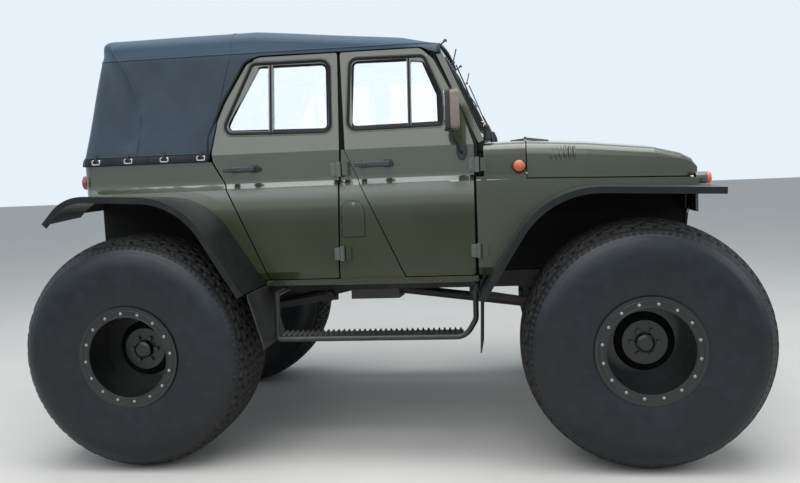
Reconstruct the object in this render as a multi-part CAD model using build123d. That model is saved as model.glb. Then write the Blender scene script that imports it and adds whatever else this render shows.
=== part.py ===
from build123d import *
import math
import os

# Lifted off-road 4x4 on very large low-pressure tyres, in millimetres.
# +X is the vehicle's front, +Y its left side, +Z is up. The origin is on the ground, midway between
# the axles and between the wheels.

# Wheels and axles
WHEELBASE = 2786
AXLE_X = WHEELBASE / 2
TYRE_RADIUS = 655
TYRE_LUGS = 36
HUB_Z = TYRE_RADIUS
WHEEL_Y = 924
BEAD_RADIUS = 262
RIM_HALF_WIDTH = 286
BARREL_RADIUS = 240
DISC_OUTER_Y = 986
HUB_FLANGE_RADIUS = 118
WHEEL_NUTS = 6
WHEEL_NUT_RADIUS = 70
DRUM_RADIUS = 150
KINGPIN_Y = 750
STEER_ARM = 120
DIFF_RADIUS = 135
AXLE_TUBE_RADIUS = 46

# Frame and running gear
RAIL_TOP_Z = 975
RAIL_HEIGHT = 100
RAIL_Y = 330
RAIL_WIDTH = 56
ARM_Y = 352
FLOOR_Z = 985

# Body side: distance from the middle plane and height of the outer skin, top to bottom
SIDE_SKIN = [(724, 2292), (820, 1741), (826, 1572), (866, 1540), (866, 1060), (850, 1018)]
# The inner face of a door, which is as thick as the whole door
DOOR_INNER = [(692, 2292), (788, 1741), (806, 1572), (806, 1018)]
SHEET_INNER = [(706, 2292), (802, 1741), (808, 1566), (846, 1534), (846, 1060), (830, 1018)]
DOOR_BOTTOM_Z = 1018
DOOR_TOP_Z = 2290
BELT_Z = 1741
TAIL_X = -1780
TAIL_CORNER = 60

# Wheel arch curves, as X, Z and the radius of the corner there
REAR_ARCH = [(-694, 1000, 0), (-1016, 1506, 420), (-1700, 1531, 240), (-1812, 1420, 0)]
REAR_FLARE = [(-721, 986, 0), (-1036, 1516, 440), (-1692, 1549, 240), (-1828, 1402, 0)]
FRONT_FLARE = [(1765, 1471, 0), (893, 1508, 480), (532, 936, 0)]
FLARE_OUTER_Y = 1212
FLARE_SHEET = 12
FLARE_LIP = 34

# Front end: the fender's top runs down from its rear to its nose, given as X and Z
FENDER_REAR = (612, 1542.6)
FENDER_NOSE = (1704, 1512)
FENDER_FALL = (FENDER_REAR[1] - FENDER_NOSE[1]) / (FENDER_NOSE[0] - FENDER_REAR[0])
COWL_X = 800
HOOD_GAP = 6
# Hood sections: X, half width, top of the side face, edge of the crown, height of the crown
HOOD_TABLE = [
    (568, 790, 1672, 1742, 1757),
    (800, 744, 1672, 1742, 1761),
    (1130, 738, 1655, 1722, 1741),
    (1500, 724, 1630, 1682, 1701),
    (1640, 716, 1612, 1645, 1661),
    (1700, 708, 1592, 1612, 1624),
    (1727, 700, 1566, 1574, 1580),
]
COWL_BOTTOM_Z = 1556

# Windscreen
SCREEN_BASE = (574, 1757)
SCREEN_TOP = (338, 2292)

# Soft top sections: X, height of the roof's shoulder, height of the crown
TOP_TABLE = [(335, 2318, 2342), (118, 2364, 2392), (-723, 2446, 2470), (-1900, 2440, 2462)]
CANVAS = 8
HEM_Z = 1690
HEM_Y = 838
# Its tail: X at the hem, how far X comes in and Y leans in for each unit of height, corner radius
TOP_TAIL_X = -1800
TAIL_LEAN = 0.18
SIDE_LEAN = 0.1712
TOP_CORNER = 95

# Hinge lines: X and Y of the doors' upright pins, X and Z of the hood's and the tailgate's level pins
FRONT_HINGE = (532, 884)
REAR_HINGE = (-236, 884)
HOOD_HINGE = (803, 1767)
TAILGATE_HINGE = (TAIL_X - 14, 1126)


def outline(corners, place):
    """Flat face whose corners are (u, v) or (u, v, radius); place turns u and v into a point."""
    points = [place(corner[0], corner[1]) for corner in corners]
    radii = [corner[2] if len(corner) > 2 else 0 for corner in corners]
    if any(radii):
        wire = Wire(FilletPolyline(*points, radius=radii, close=True).edges())
    else:
        wire = Wire.make_polygon(points, close=True)
    return Face(wire)


def along_y(corners, low, high):
    """Solid with an X, Z outline that runs from low to high along Y."""
    face = outline(corners, lambda u, v: (u, low, v))
    return Solid.extrude(face, Vector(0, high - low, 0))


def along_x(corners, low, high):
    """Solid with a Y, Z outline that runs from low to high along X."""
    face = outline(corners, lambda u, v: (low, u, v))
    return Solid.extrude(face, Vector(high - low, 0, 0))


def along_z(corners, low, high):
    """Solid with an X, Y outline that runs from low to high along Z."""
    face = outline(corners, lambda u, v: (u, v, low))
    return Solid.extrude(face, Vector(0, 0, high - low))


def block(x_low, x_high, y_low, y_high, z_low, z_high):
    """Box between two corners."""
    return along_z([(x_low, y_low), (x_high, y_low), (x_high, y_high), (x_low, y_high)], z_low, z_high)


def rod(start, end, radius):
    """Round bar between two points."""
    start = Vector(*start)
    line = Vector(*end) - start
    return Solid.make_cylinder(radius, line.length, Plane(origin=start, z_dir=line))


def pipe(points, radii, radius):
    """Round bar along straight runs joined by arcs."""
    path = Wire(FilletPolyline(*points, radius=radii).edges())
    start = Plane(origin=path @ 0, z_dir=path % 0)
    return sweep(start * Circle(radius), path=path)


def turned(profile, centre, axis=(0, 1, 0)):
    """Solid of revolution: profile holds (distance along the axis, radius) in order."""
    frame = Plane(origin=centre, x_dir=(0, 0, 1), z_dir=Vector(*axis).cross(Vector(0, 0, 1)))
    points = [frame.from_local_coords((radius, -along, 0)) for along, radius in profile]
    face = Face(Wire.make_polygon(points, close=True))
    return Solid.revolve(face, 360, Axis(centre, axis))


def joined(*pieces):
    """One solid made of pieces that meet."""
    whole = pieces[0]
    for piece in pieces[1:]:
        whole = whole + piece
    return whole


def both_sides(*pieces):
    """The pieces and their mirror images across the middle plane."""
    found = []
    for piece in pieces:
        found.append(piece)
        found.append(mirror(piece, about=Plane.XZ))
    return found


def on_side(piece, side):
    """A right-hand piece, at negative Y, or its mirror image on the left."""
    return piece if side == "right" else mirror(piece, about=Plane.XZ)


def offset_path(corners, distance):
    """The open path of corners, moved to its left by distance; rounded corners keep their centres."""
    points = [Vector(corner[0], corner[1]) for corner in corners]
    moved = []
    for index, point in enumerate(points):
        before = (point - points[index - 1]).normalized() if index else None
        after = (points[index + 1] - point).normalized() if index + 1 < len(points) else None
        first = before or after
        second = after or before
        bisector = (Vector(-first.Y, first.X) + Vector(-second.Y, second.X)).normalized()
        reach = distance / bisector.dot(Vector(-first.Y, first.X))
        turn = first.X * second.Y - first.Y * second.X
        radius = corners[index][2]
        grown = radius - math.copysign(distance, turn) if radius else 0
        moved.append((point.X + bisector.X * reach, point.Y + bisector.Y * reach, grown))
    return moved


def band(path, thickness, low, high):
    """Bent sheet: its upper face follows an X, Z path, and it runs from low to high along Y."""
    return along_y(path + offset_path(path, thickness)[::-1], low, high)


def solids_of(shape):
    """Every solid in a shape or a list of shapes."""
    if isinstance(shape, (list, tuple)):
        return [solid for item in shape for solid in solids_of(item)]
    return list(shape.solids())


def save(node, *shapes):
    """Write one node's solids to its own file."""
    solids = solids_of(list(shapes))
    shape = solids[0] if len(solids) == 1 else Compound(children=solids)
    export_step(shape, f"parts/{node}.step")


os.makedirs("parts", exist_ok=True)


# Tyres: balloon walls made of flats under a crown of cross lugs, open at the beads.
# Each row is the distance from the wheel's middle plane and the radius of the flats there.
CROWN_ROWS = [(-195, 617), (-80, TYRE_RADIUS), (80, TYRE_RADIUS), (195, 617)]
WALL_ROWS = [(-276, 285), (-297, 420), (-283, 540), (-195, 596), (195, 596), (283, 540), (297, 420), (276, 285)]
CAVITY_ROWS = [
    (-290, BEAD_RADIUS),
    (-264, BEAD_RADIUS),
    (-262, 430),
    (-205, 545),
    (205, 545),
    (262, 430),
    (264, BEAD_RADIUS),
    (290, BEAD_RADIUS),
]
WALL_SIDES = 24
CAVITY_SIDES = 12
LUG_SHARE = 0.87
GROOVE_SHARE = 0.982


def ring_of(corners, along):
    """Closed wire about the Y axis at that distance; corners are (angle, radius)."""
    spots = [(radius * math.cos(angle), along, radius * math.sin(angle)) for angle, radius in corners]
    return Wire.make_polygon(spots, close=True)


def flats(sides, radius):
    """Corners of a regular outline whose flats are at that radius, one of them straight below."""
    half = math.pi / sides
    return [(half * (2 * index + 1) - math.pi / 2, radius / math.cos(half)) for index in range(sides)]


def lugs(radius):
    """Corners of the crown's outline: the two edges of a lug, then the bottom of the groove after it."""
    half = math.pi / TYRE_LUGS
    edge = half * LUG_SHARE
    corners = []
    for index in range(TYRE_LUGS):
        middle = 2 * half * index - math.pi / 2
        corners.append((middle - edge, radius / math.cos(edge)))
        corners.append((middle + edge, radius / math.cos(edge)))
        corners.append((middle + half, radius * GROOVE_SHARE))
    return corners


def faceted(rows, corners_at):
    """Solid about the Y axis through the outline that each row gives."""
    return Solid.make_loft([ring_of(corners_at(radius), along) for along, radius in rows], ruled=True)


crown = faceted(CROWN_ROWS, lugs)
walls = faceted(WALL_ROWS, lambda radius: flats(WALL_SIDES, radius))
cavity = faceted(CAVITY_ROWS, lambda radius: flats(CAVITY_SIDES, radius))
tyre = crown + walls - cavity


# Rims: a split barrel with a flat bead ring, a dished disc and the brake drum behind it
def rim(centre, outward):
    lip = 12
    bead = BEAD_RADIUS - 0.3
    barrel = [
        (RIM_HALF_WIDTH + 4, 281),
        (RIM_HALF_WIDTH + 4, 222),
        (RIM_HALF_WIDTH - 6, 222),
        (RIM_HALF_WIDTH - 10, BARREL_RADIUS),
        (-RIM_HALF_WIDTH, BARREL_RADIUS),
        (-RIM_HALF_WIDTH - lip, 281),
        (-RIM_HALF_WIDTH - lip + 8, 281),
        (-RIM_HALF_WIDTH + 4, bead),
        (-90, bead),
        (-70, bead - 12),
        (60, bead - 12),
        (80, bead),
        (RIM_HALF_WIDTH - 4, bead),
        (RIM_HALF_WIDTH - 4, 281),
    ]
    axis = (0, outward, 0)
    disc_at = DISC_OUTER_Y - WHEEL_Y
    disc = [
        (disc_at, 1),
        (disc_at, HUB_FLANGE_RADIUS),
        (disc_at - 34, 160),
        (disc_at - 34, BARREL_RADIUS + 3),
        (disc_at - 42, BARREL_RADIUS + 3),
        (disc_at - 42, 157),
        (disc_at - 12, HUB_FLANGE_RADIUS - 4),
        (disc_at - 12, 1),
    ]
    hub = [
        (disc_at + 46, 1),
        (disc_at + 46, 34),
        (disc_at + 40, 48),
        (disc_at + 6, 52),
        (disc_at - 11, 52),
        (disc_at - 11, DRUM_RADIUS - 30),
        (disc_at - 40, DRUM_RADIUS),
        (-92, DRUM_RADIUS),
        (-92, DRUM_RADIUS - 8),
        (disc_at - 46, DRUM_RADIUS - 8),
        (disc_at - 46, 1),
    ]
    wheel = joined(turned(barrel, centre, axis), turned(disc, centre, axis), turned(hub, centre, axis))
    middle = Vector(*centre)
    for index in range(WHEEL_NUTS):
        angle = 2 * math.pi * index / WHEEL_NUTS
        spot = Vector(math.cos(angle), 0, math.sin(angle)) * WHEEL_NUT_RADIUS + middle
        face = Plane(origin=spot + Vector(0, outward * (disc_at - 4), 0), z_dir=(0, outward, 0))
        wheel = wheel + extrude(face * RegularPolygon(14, 6), 22)
    return wheel


WHEELS = [
    ("front_left", AXLE_X, 1),
    ("front_right", AXLE_X, -1),
    ("rear_left", -AXLE_X, 1),
    ("rear_right", -AXLE_X, -1),
]
for name, wheel_x, outward in WHEELS:
    centre = (wheel_x, outward * WHEEL_Y, HUB_Z)
    save(f"tyre_{name}", Pos(*centre) * tyre)
    save(f"rim_{name}", rim(centre, outward))


# Axles: a tube with a round differential housing in the middle
def axle_housing(axle_x, reach, nose):
    tube = rod((axle_x, -reach, HUB_Z), (axle_x, reach, HUB_Z), AXLE_TUBE_RADIUS)
    bulge = turned(
        [(-118, 1), (-118, 60), (-60, DIFF_RADIUS), (60, DIFF_RADIUS), (118, 60), (118, 1)],
        (axle_x, 0, HUB_Z),
    )
    pinion = rod((axle_x, 0, HUB_Z + 12), (axle_x + nose * 230, 0, HUB_Z + 12), 62)
    perches = [
        block(axle_x - 60, axle_x + 60, side * ARM_Y - 45, side * ARM_Y + 45, HUB_Z + 20, HUB_Z + 66)
        for side in (-1, 1)
    ]
    return joined(tube, bulge, pinion, *perches)


front_housing = axle_housing(AXLE_X, KINGPIN_Y - 80, -1)
front_ends = both_sides(rod((AXLE_X, -(KINGPIN_Y - 90), HUB_Z), (AXLE_X, -(KINGPIN_Y - 42), HUB_Z), 70))
save("front_axle", joined(front_housing, *front_ends))
rear_housing = axle_housing(-AXLE_X, WHEEL_Y - 104, 1)
rear_plates = both_sides(rod((-AXLE_X, -(WHEEL_Y - 104), HUB_Z), (-AXLE_X, -(WHEEL_Y - 98), HUB_Z), 140))
save("rear_axle", joined(rear_housing, *rear_plates))


# Steering knuckles: a fork over the axle's end, a back plate and an arm to the tie rod
def knuckle(side):
    y = side * KINGPIN_Y
    plate = rod((AXLE_X, side * (WHEEL_Y - 104), HUB_Z), (AXLE_X, side * (WHEEL_Y - 98), HUB_Z), 140)
    neck = rod((AXLE_X, side * (KINGPIN_Y + 24), HUB_Z), (AXLE_X, side * (WHEEL_Y - 103), HUB_Z), 62)
    cheek = rod((AXLE_X, side * (KINGPIN_Y + 6), HUB_Z), (AXLE_X, side * (KINGPIN_Y + 30), HUB_Z), 112)
    upper = rod((AXLE_X, y, HUB_Z + 76), (AXLE_X, y, HUB_Z + 108), 34)
    upper_web = block(AXLE_X - 28, AXLE_X + 28, min(y, y + side * 20), max(y, y + side * 20), HUB_Z + 78, HUB_Z + 104)
    lower = rod((AXLE_X, y, HUB_Z - 108), (AXLE_X, y, HUB_Z - 76), 34)
    lower_web = block(
        AXLE_X - 28, AXLE_X + 28, min(y, y + side * 20), max(y, y + side * 20), HUB_Z - 104, HUB_Z - 78
    )
    joint_x = AXLE_X - STEER_ARM
    arm = block(joint_x - 10, AXLE_X, y - 14, y + 14, HUB_Z - 108, HUB_Z - 88)
    eye = rod((joint_x, y, HUB_Z - 108), (joint_x, y, HUB_Z - 86), 20)
    return joined(plate, neck, cheek, upper, upper_web, lower, lower_web, arm, eye)


save("knuckle_left", knuckle(1))
save("knuckle_right", knuckle(-1))

rod_x = AXLE_X - STEER_ARM
rod_z = HUB_Z - 108 - 22
tie_ends = both_sides(rod((rod_x, -KINGPIN_Y, rod_z - 18), (rod_x, -KINGPIN_Y, rod_z + 18), 20))
save("tie_rod", joined(rod((rod_x, -KINGPIN_Y, rod_z), (rod_x, KINGPIN_Y, rod_z), 15), *tie_ends))

# Ladder frame: two channel rails, cross tubes and the brackets of the suspension
rail_low = RAIL_TOP_Z - RAIL_HEIGHT
rail_profile = [
    (-(RAIL_Y + RAIL_WIDTH / 2), rail_low),
    (-(RAIL_Y - RAIL_WIDTH / 2), rail_low),
    (-(RAIL_Y - RAIL_WIDTH / 2), rail_low + 5),
    (-(RAIL_Y + RAIL_WIDTH / 2 - 5), rail_low + 5),
    (-(RAIL_Y + RAIL_WIDTH / 2 - 5), RAIL_TOP_Z - 5),
    (-(RAIL_Y - RAIL_WIDTH / 2), RAIL_TOP_Z - 5),
    (-(RAIL_Y - RAIL_WIDTH / 2), RAIL_TOP_Z),
    (-(RAIL_Y + RAIL_WIDTH / 2), RAIL_TOP_Z),
]
REAR_BAR_X = TAIL_X + 18
rails = both_sides(along_x(rail_profile, REAR_BAR_X, 1660))
CROSS_TUBES = [(-1680, 34), (-1100, 30), (-420, 34), (900, 30), (1620, 34)]
reach = RAIL_Y + RAIL_WIDTH / 2 - 2
cross_tubes = [rod((x, -reach, RAIL_TOP_Z - 50), (x, reach, RAIL_TOP_Z - 50), radius) for x, radius in CROSS_TUBES]
# Radius arms: X of the pivot on the frame and of the end on the axle
ARM_PIVOTS = [(480, AXLE_X - 60), (-430, -AXLE_X + 60)]
hangers = []
for pivot_x, _ in ARM_PIVOTS:
    hangers.extend(both_sides(block(pivot_x - 40, pivot_x + 40, -ARM_Y - 5, -ARM_Y + 34, 812, rail_low + 3)))
towers = [
    block(x - 62, x + 62, side * ARM_Y - 30, side * ARM_Y + 30, rail_low - 14, rail_low + 2)
    for x in (-AXLE_X, AXLE_X)
    for side in (-1, 1)
]
save("frame_rails", joined(*rails, *cross_tubes, *hangers, *towers))

# Radius arms from the frame to the axles
arms = []
for pivot_x, axle_end in ARM_PIVOTS:
    low, high = sorted((pivot_x, axle_end))
    lift = [820, HUB_Z + 24] if pivot_x == low else [HUB_Z + 24, 820]
    shape = [(low, lift[0]), (high, lift[1]), (high, lift[1] + 40), (low, lift[0] + 40)]
    eye = rod((pivot_x, -ARM_Y - 49, 840), (pivot_x, -ARM_Y - 6, 840), 30)
    arms.extend(both_sides(joined(along_y(shape, -ARM_Y - 45, -ARM_Y - 10), eye)))
save("radius_arms", arms)

# Springs, stood on the axles' perches
springs = []
for x in (-AXLE_X, AXLE_X):
    springs.extend(both_sides(rod((x, -ARM_Y, HUB_Z + 66.3), (x, -ARM_Y, rail_low - 14.3), 52)))
save("springs", springs)

# Engine, gearbox and transfer case
gearbox = joined(
    along_x([(-150, 900), (150, 900), (170, 1010), (110, 1110), (-110, 1110), (-170, 1010)], 430, 758),
    along_x([(-110, 890), (110, 890), (120, 1000), (80, 1070), (-80, 1070), (-120, 1000)], -20, 432),
)
transfer = along_x([(-200, 790), (60, 770), (150, 860), (150, 1030), (-120, 1060), (-200, 960)], -330, -18)
engine = block(760, 1330, -230, 230, 960, 1470)
save("engine_and_gearbox", engine, joined(gearbox, transfer))


def propshaft(start, end):
    """Tube between two round flanges that face along X."""
    ahead = math.copysign(12, end[0] - start[0])
    first = rod(start, (start[0] + ahead, start[1], start[2]), 44)
    last = rod((end[0] - ahead, end[1], end[2]), end, 44)
    tube = rod((start[0] + ahead * 0.8, start[1], start[2]), (end[0] - ahead * 0.8, end[1], end[2]), 30)
    return joined(first, last, tube)


front_shaft = propshaft((-18, -110, 838), (AXLE_X - 230, 0, HUB_Z + 12))
rear_shaft = propshaft((-330, 20, 850), (-AXLE_X + 230, 0, HUB_Z + 12))
save("propshafts", front_shaft, rear_shaft)

# Exhaust: down from the engine's left side, a silencer, and out at the tail
exhaust_y = 256
exhaust_z = 848
exhaust = pipe(
    [(1010, exhaust_y, 1090), (1010, exhaust_y, exhaust_z), (TAIL_X - 20, exhaust_y, exhaust_z)],
    [90],
    22,
)
outlet = rod((1010, 230, 1084), (1010, exhaust_y + 6, 1084), 24)
silencer = rod((170, exhaust_y, exhaust_z), (-330, exhaust_y, exhaust_z), 42)
save("exhaust", joined(exhaust, outlet, silencer))
save("fuel_tank", along_y([(-1300, 1040, 30), (-740, 1040, 30), (-740, 1118), (-1300, 1118)], -420, 380))

# Floor with its tunnel, and the firewall
floor_profile = [
    (-800, FLOOR_Z),
    (-190, FLOOR_Z),
    (-190, 1110),
    (-150, 1150),
    (150, 1150),
    (190, 1110),
    (190, FLOOR_Z),
    (800, FLOOR_Z),
    (800, FLOOR_Z + 8),
    (198, FLOOR_Z + 8),
    (198, 1113),
    (153, 1158),
    (-153, 1158),
    (-198, 1113),
    (-198, FLOOR_Z + 8),
    (-800, FLOOR_Z + 8),
]
floor_pan = along_x(floor_profile, -662, 598)
floor_pan = floor_pan - both_sides(block(538, 610, -810, -562, 900, 1010))
save("floor_pan", floor_pan)

# Rear tub: heel board, load floor, wheel boxes and the frame of the tailgate
TUB_Y = 600
LOAD_Z = 1124
tub_wall = along_y(
    [
        (-700, FLOOR_Z),
        (TAIL_X, LOAD_Z - 60),
        (TAIL_X, 1446),
        (-1700, 1500),
        (-1620, 1522),
        (-1026, 1504),
        (-700, 1010),
    ],
    -TUB_Y,
    -TUB_Y + 10,
)
heel = block(-672, -662, -TUB_Y - 60, TUB_Y + 60, FLOOR_Z, LOAD_Z)
load_floor = block(TAIL_X, -662, -TUB_Y + 10, TUB_Y - 10, LOAD_Z, LOAD_Z + 8)
arch_liner = band(REAR_ARCH, 10, -828, -TUB_Y) - block(-1900, TAIL_X, -900, -500, 1300, 1600)
tail_post = block(TAIL_X, TAIL_X + 40, -TUB_Y, -TUB_Y + 28, LOAD_Z - 60, 1700)
tail_sill = block(TAIL_X, TAIL_X + 40, -TUB_Y + 10, TUB_Y - 10, LOAD_Z - 60, LOAD_Z + 2)
tub_halves = both_sides(tub_wall, arch_liner, tail_post)
save("rear_tub", joined(load_floor, heel, tail_sill, *tub_halves))


def skin_profile(inner, z_low, z_high):
    """Y, Z outline of the right body side between two heights."""
    def at(line, height):
        for (y_high, high), (y_low, low) in zip(line, line[1:]):
            if low <= height <= high:
                share = (height - low) / (high - low)
                return (y_low + (y_high - y_low) * share, height)
        return (line[-1][0], height)

    def stretch(line):
        kept = [point for point in line if z_low < point[1] < z_high]
        return [at(line, z_high)] + kept + [at(line, z_low)]

    return [(-y, z) for y, z in stretch(SIDE_SKIN) + stretch(inner)[::-1]]


def side_panel(corners, inner, z_low, z_high):
    """Right body side within an X, Z outline, with the body's own section."""
    xs = [corner[0] for corner in corners]
    full = along_x(skin_profile(inner, z_low, z_high), min(xs), max(xs))
    return full & along_y(corners, -900, -600)


HINGE_HALF = 36
UPPER_SEAT_Y = 815
LOWER_SEAT_Y = 862


def fixed_leaf(x, z, seat_y):
    """Leaf of a door hinge on the panel in front of the door, let into it as far as seat_y."""
    return block(x + 20, x + 50, -878, -seat_y, z - HINGE_HALF, z + HINGE_HALF)


# Rear quarters: the side panel above the wheel arch, the round upright corner and its return at the tail
corner_x = TAIL_X + TAIL_CORNER
corner_y = TAIL_CORNER - 824
RETURN_SHEET = 16
quarter_corners = [
    (corner_x, 1704),
    (-992, 1704),
    (-986, 1694),
    (-909, 1562),
    (-808, 1329),
    (-672, 1018),
    (corner_x, 1018),
]
under_arch = REAR_ARCH + [(-1900, 900, 0), (-672, 900, 0)]
quarter = side_panel(quarter_corners, SHEET_INNER, 1018, 1704)
corner = rod((corner_x, corner_y, 1400), (corner_x, corner_y, 1704), TAIL_CORNER)
corner = corner - rod((corner_x, corner_y, 1390), (corner_x, corner_y, 1714), TAIL_CORNER - RETURN_SHEET)
corner = corner & block(TAIL_X - 10, corner_x, -850, corner_y, 1400, 1704)
tail_return = block(TAIL_X, TAIL_X + RETURN_SHEET, corner_y, -600, 1400, 1704)
shoulder_end = along_x(
    [(-807, 1400), (-860, 1400), (-860, 1540), (-824, 1569), (-807, 1569)], corner_x - 2, corner_x + 10
)
quarter = joined(quarter, shoulder_end, corner, tail_return) - along_y(under_arch, -900, -500)
save("quarter_panels", both_sides(quarter))

# Sills and the panel between the doors
between_doors = side_panel(
    [(-228, BELT_Z), (-214, BELT_Z), (112, DOOR_BOTTOM_Z), (-258, DOOR_BOTTOM_Z)], SHEET_INNER, 1018, BELT_Z
)
sill = along_x([(-846, 1012), (-846, 980), (-800, 972), (-720, 972), (-720, 984), (-806, 984), (-806, 1012)], -694, 522)
side_frame = joined(between_doors, sill)
foot = block(-258, 112, -846, -806, 1011, 1019)
upper_leaf = fixed_leaf(REAR_HINGE[0], 1633, UPPER_SEAT_Y)
lower_leaf = fixed_leaf(REAR_HINGE[0], 1159, LOWER_SEAT_Y)
side_frame = joined(side_frame, foot, upper_leaf, lower_leaf)
save("side_frames", both_sides(side_frame))

# Front fenders: side skin, top, lamp face and the inner apron
under_flare = FRONT_FLARE + [(526, 900, 0), (1765, 900, 0)]
fender_side = side_panel([(526, 1545), (1704, 1512), (1704, 936), (526, 936)], SHEET_INNER, 1018, 1545)
fender_side = fender_side - along_y(under_flare, -900, -600)
fender_foot = block(526, 532, -846, -830, 980, 1018)
fender_top = along_y([FENDER_REAR, FENDER_NOSE, (1704, 1504), (612, 1534.6)], -852, -650)
fender_face = block(1690, 1704, -838, -640, 1330, 1508)
apron = along_x([(-385, 985), (-560, 1330), (-560, 1500), (-568, 1500), (-568, 1330), (-393, 985)], 640, 1690)
apron_roof = block(640, 1690, -660, -560, 1500, 1508)
front_liner = band(FRONT_FLARE, 10, -828, -566) - block(1690, 1800, -900, -500, 1400, 1600)
fender_leaf = fixed_leaf(FRONT_HINGE[0], 1156, LOWER_SEAT_Y)
fender = joined(fender_side, fender_top, fender_face, front_liner, apron, apron_roof, fender_leaf)
save("fenders", both_sides(fender))

# Grille panel between the fenders, its lower corners cut away to clear the steered tyres
grille = along_x(
    [(-500, 1180), (500, 1180), (560, 1300), (636, 1340), (636, 1548), (-636, 1548), (-636, 1340), (-560, 1300)],
    1690,
    1704,
)
SLOTS = 9
SLOT_PITCH = 62
for index in range(SLOTS):
    y = (index - (SLOTS - 1) / 2) * SLOT_PITCH
    grille = grille - block(1680, 1720, y - 19, y + 19, 1270, 1500)
HEADLAMP_Y = 470
HEADLAMP_Z = 1400
HEADLAMP_RADIUS = 92
for side in (-1, 1):
    grille = grille - rod((1680, side * HEADLAMP_Y, HEADLAMP_Z), (1720, side * HEADLAMP_Y, HEADLAMP_Z), HEADLAMP_RADIUS)
save("grille_panel", grille)
lamp_bowls = [
    turned(
        [(0, 1), (0, 60), (70, HEADLAMP_RADIUS - 2), (78, HEADLAMP_RADIUS - 2), (92, 60), (98, 1)],
        (1630, side * HEADLAMP_Y, HEADLAMP_Z),
        (1, 0, 0),
    )
    for side in (-1, 1)
]
save("headlamps", lamp_bowls)


def fender_top_z(x):
    """Height of the fender's top at x."""
    return FENDER_REAR[1] - FENDER_FALL * (x - FENDER_REAR[0])


# Hood and cowl: one section, carried along X
def hood_section(x, half, side_top, edge_z, crown_z, inset=0):
    """Closed wire of the hood's cross section at x, moved inwards by inset."""
    w = half - inset
    side_z = side_top - inset * 0.6
    edge = edge_z - inset
    crown = crown_z - inset
    low = fender_top_z(x) + HOOD_GAP if x > COWL_X else COWL_BOTTOM_Z
    corner_y = w - 62
    mid = (side_z + edge) / 2 + 0.16 * (edge - side_z)
    left = [(w, low), (w, side_z)]
    points = [Vector(x, y, z) for y, z in left]
    bend = Vector(x, w - 15, mid)
    top = Vector(x, corner_y, edge)
    edges = [
        Edge.make_line(points[0], points[1]),
        Edge.make_three_point_arc(points[1], bend, top),
        Edge.make_three_point_arc(top, Vector(x, 0, crown), Vector(x, -corner_y, edge)),
        Edge.make_three_point_arc(Vector(x, -corner_y, edge), Vector(x, -w + 15, mid), Vector(x, -w, side_z)),
        Edge.make_line(Vector(x, -w, side_z), Vector(x, -w, low)),
        Edge.make_line(Vector(x, -w, low), points[0]),
    ]
    return Wire(edges)


def hood_shell(rows, wall, nose_wall):
    """Hollow cover over the rows of sections."""
    outer = Solid.make_loft([hood_section(*row) for row in rows], ruled=True)
    inner_rows = [list(row) for row in rows]
    inner_rows[-1][0] -= nose_wall
    inner = Solid.make_loft([hood_section(*row, inset=wall) for row in inner_rows], ruled=True)
    return outer, inner


cowl_rows = HOOD_TABLE[:2]
cowl_outer, cowl_inner = hood_shell(cowl_rows, 12, 0)
cowl = cowl_outer - cowl_inner
cowl = cowl - block(500, 900, -760, 760, COWL_BOTTOM_Z - 10, COWL_BOTTOM_Z + 2)
firewall = along_y([(600, FLOOR_Z), (612, FLOOR_Z), (612, 1750), (600, 1750)], -730, 730) & cowl_outer
low_wall = along_x(
    [
        (-560, FLOOR_Z),
        (560, FLOOR_Z),
        (560, 1074),
        (826, 1074),
        (826, 1530),
        (744, 1556),
        (730, 1650),
        (-730, 1650),
        (-744, 1556),
        (-826, 1530),
        (-826, 1074),
        (-560, 1074),
    ],
    600,
    610,
)
low_wall = low_wall - block(590, 620, -200, 200, 900, 1160)
ledge = along_y([(526, 1545), FENDER_REAR, (COWL_X, fender_top_z(COWL_X)), (COWL_X, 1560), (526, 1560)], -838, -736)
lamp_pad = along_y([(722, 1569), (798, 1569), (798, 1649), (722, 1649)], -760, -740)
cowl_leaf = fixed_leaf(FRONT_HINGE[0], 1628, 780)

# Strap hinges of the hood, on top of the cowl and the hood, with their pins above the joint
HOOD_STRAP_Y = 430
hinge_x, hinge_z = HOOD_HINGE
strap_low = [(hinge_x - 86, 1748), (hinge_x + 6, 1748), (hinge_x + 6, hinge_z), (hinge_x - 6, hinge_z), (hinge_x - 86, 1758)]
cowl_strap = along_y(strap_low, -HOOD_STRAP_Y - 22, -HOOD_STRAP_Y + 22)
cowl_strap = cowl_strap - rod((hinge_x, -HOOD_STRAP_Y - 30, hinge_z), (hinge_x, -HOOD_STRAP_Y + 30, hinge_z), 10)
cowl_strap = cowl_strap - block(COWL_X, 900, -600, -300, 1700, 1800)
save("cowl", joined(cowl, low_wall, *both_sides(ledge, lamp_pad, cowl_leaf, cowl_strap)))

hood_rows = [(COWL_X + HOOD_GAP,) + HOOD_TABLE[1][1:]] + HOOD_TABLE[2:]
hood_outer, hood_inner = hood_shell(hood_rows, 14, 16)
hood_pin = rod((hinge_x, -HOOD_STRAP_Y - 22, hinge_z), (hinge_x, -HOOD_STRAP_Y + 22, hinge_z), 9)
strap_top = [(hinge_x + 4, 1756), (hinge_x + 136, 1742), (hinge_x + 136, 1752), (hinge_x + 4, hinge_z + 4)]
hood_strap = along_y(strap_top, -HOOD_STRAP_Y - 22, -HOOD_STRAP_Y + 22)
save("hood", joined(hood_outer - hood_inner, *both_sides(hood_pin, hood_strap)))

# Windscreen frame, leaning back, and its glass
lean = math.atan2(SCREEN_BASE[0] - SCREEN_TOP[0], SCREEN_TOP[1] - SCREEN_BASE[1])
screen_length = math.hypot(SCREEN_BASE[0] - SCREEN_TOP[0], SCREEN_TOP[1] - SCREEN_BASE[1])
screen_plane = Plane(
    origin=(SCREEN_BASE[0], 0, SCREEN_BASE[1]),
    x_dir=(0, 1, 0),
    z_dir=(math.cos(lean), 0, math.sin(lean)),
)


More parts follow.
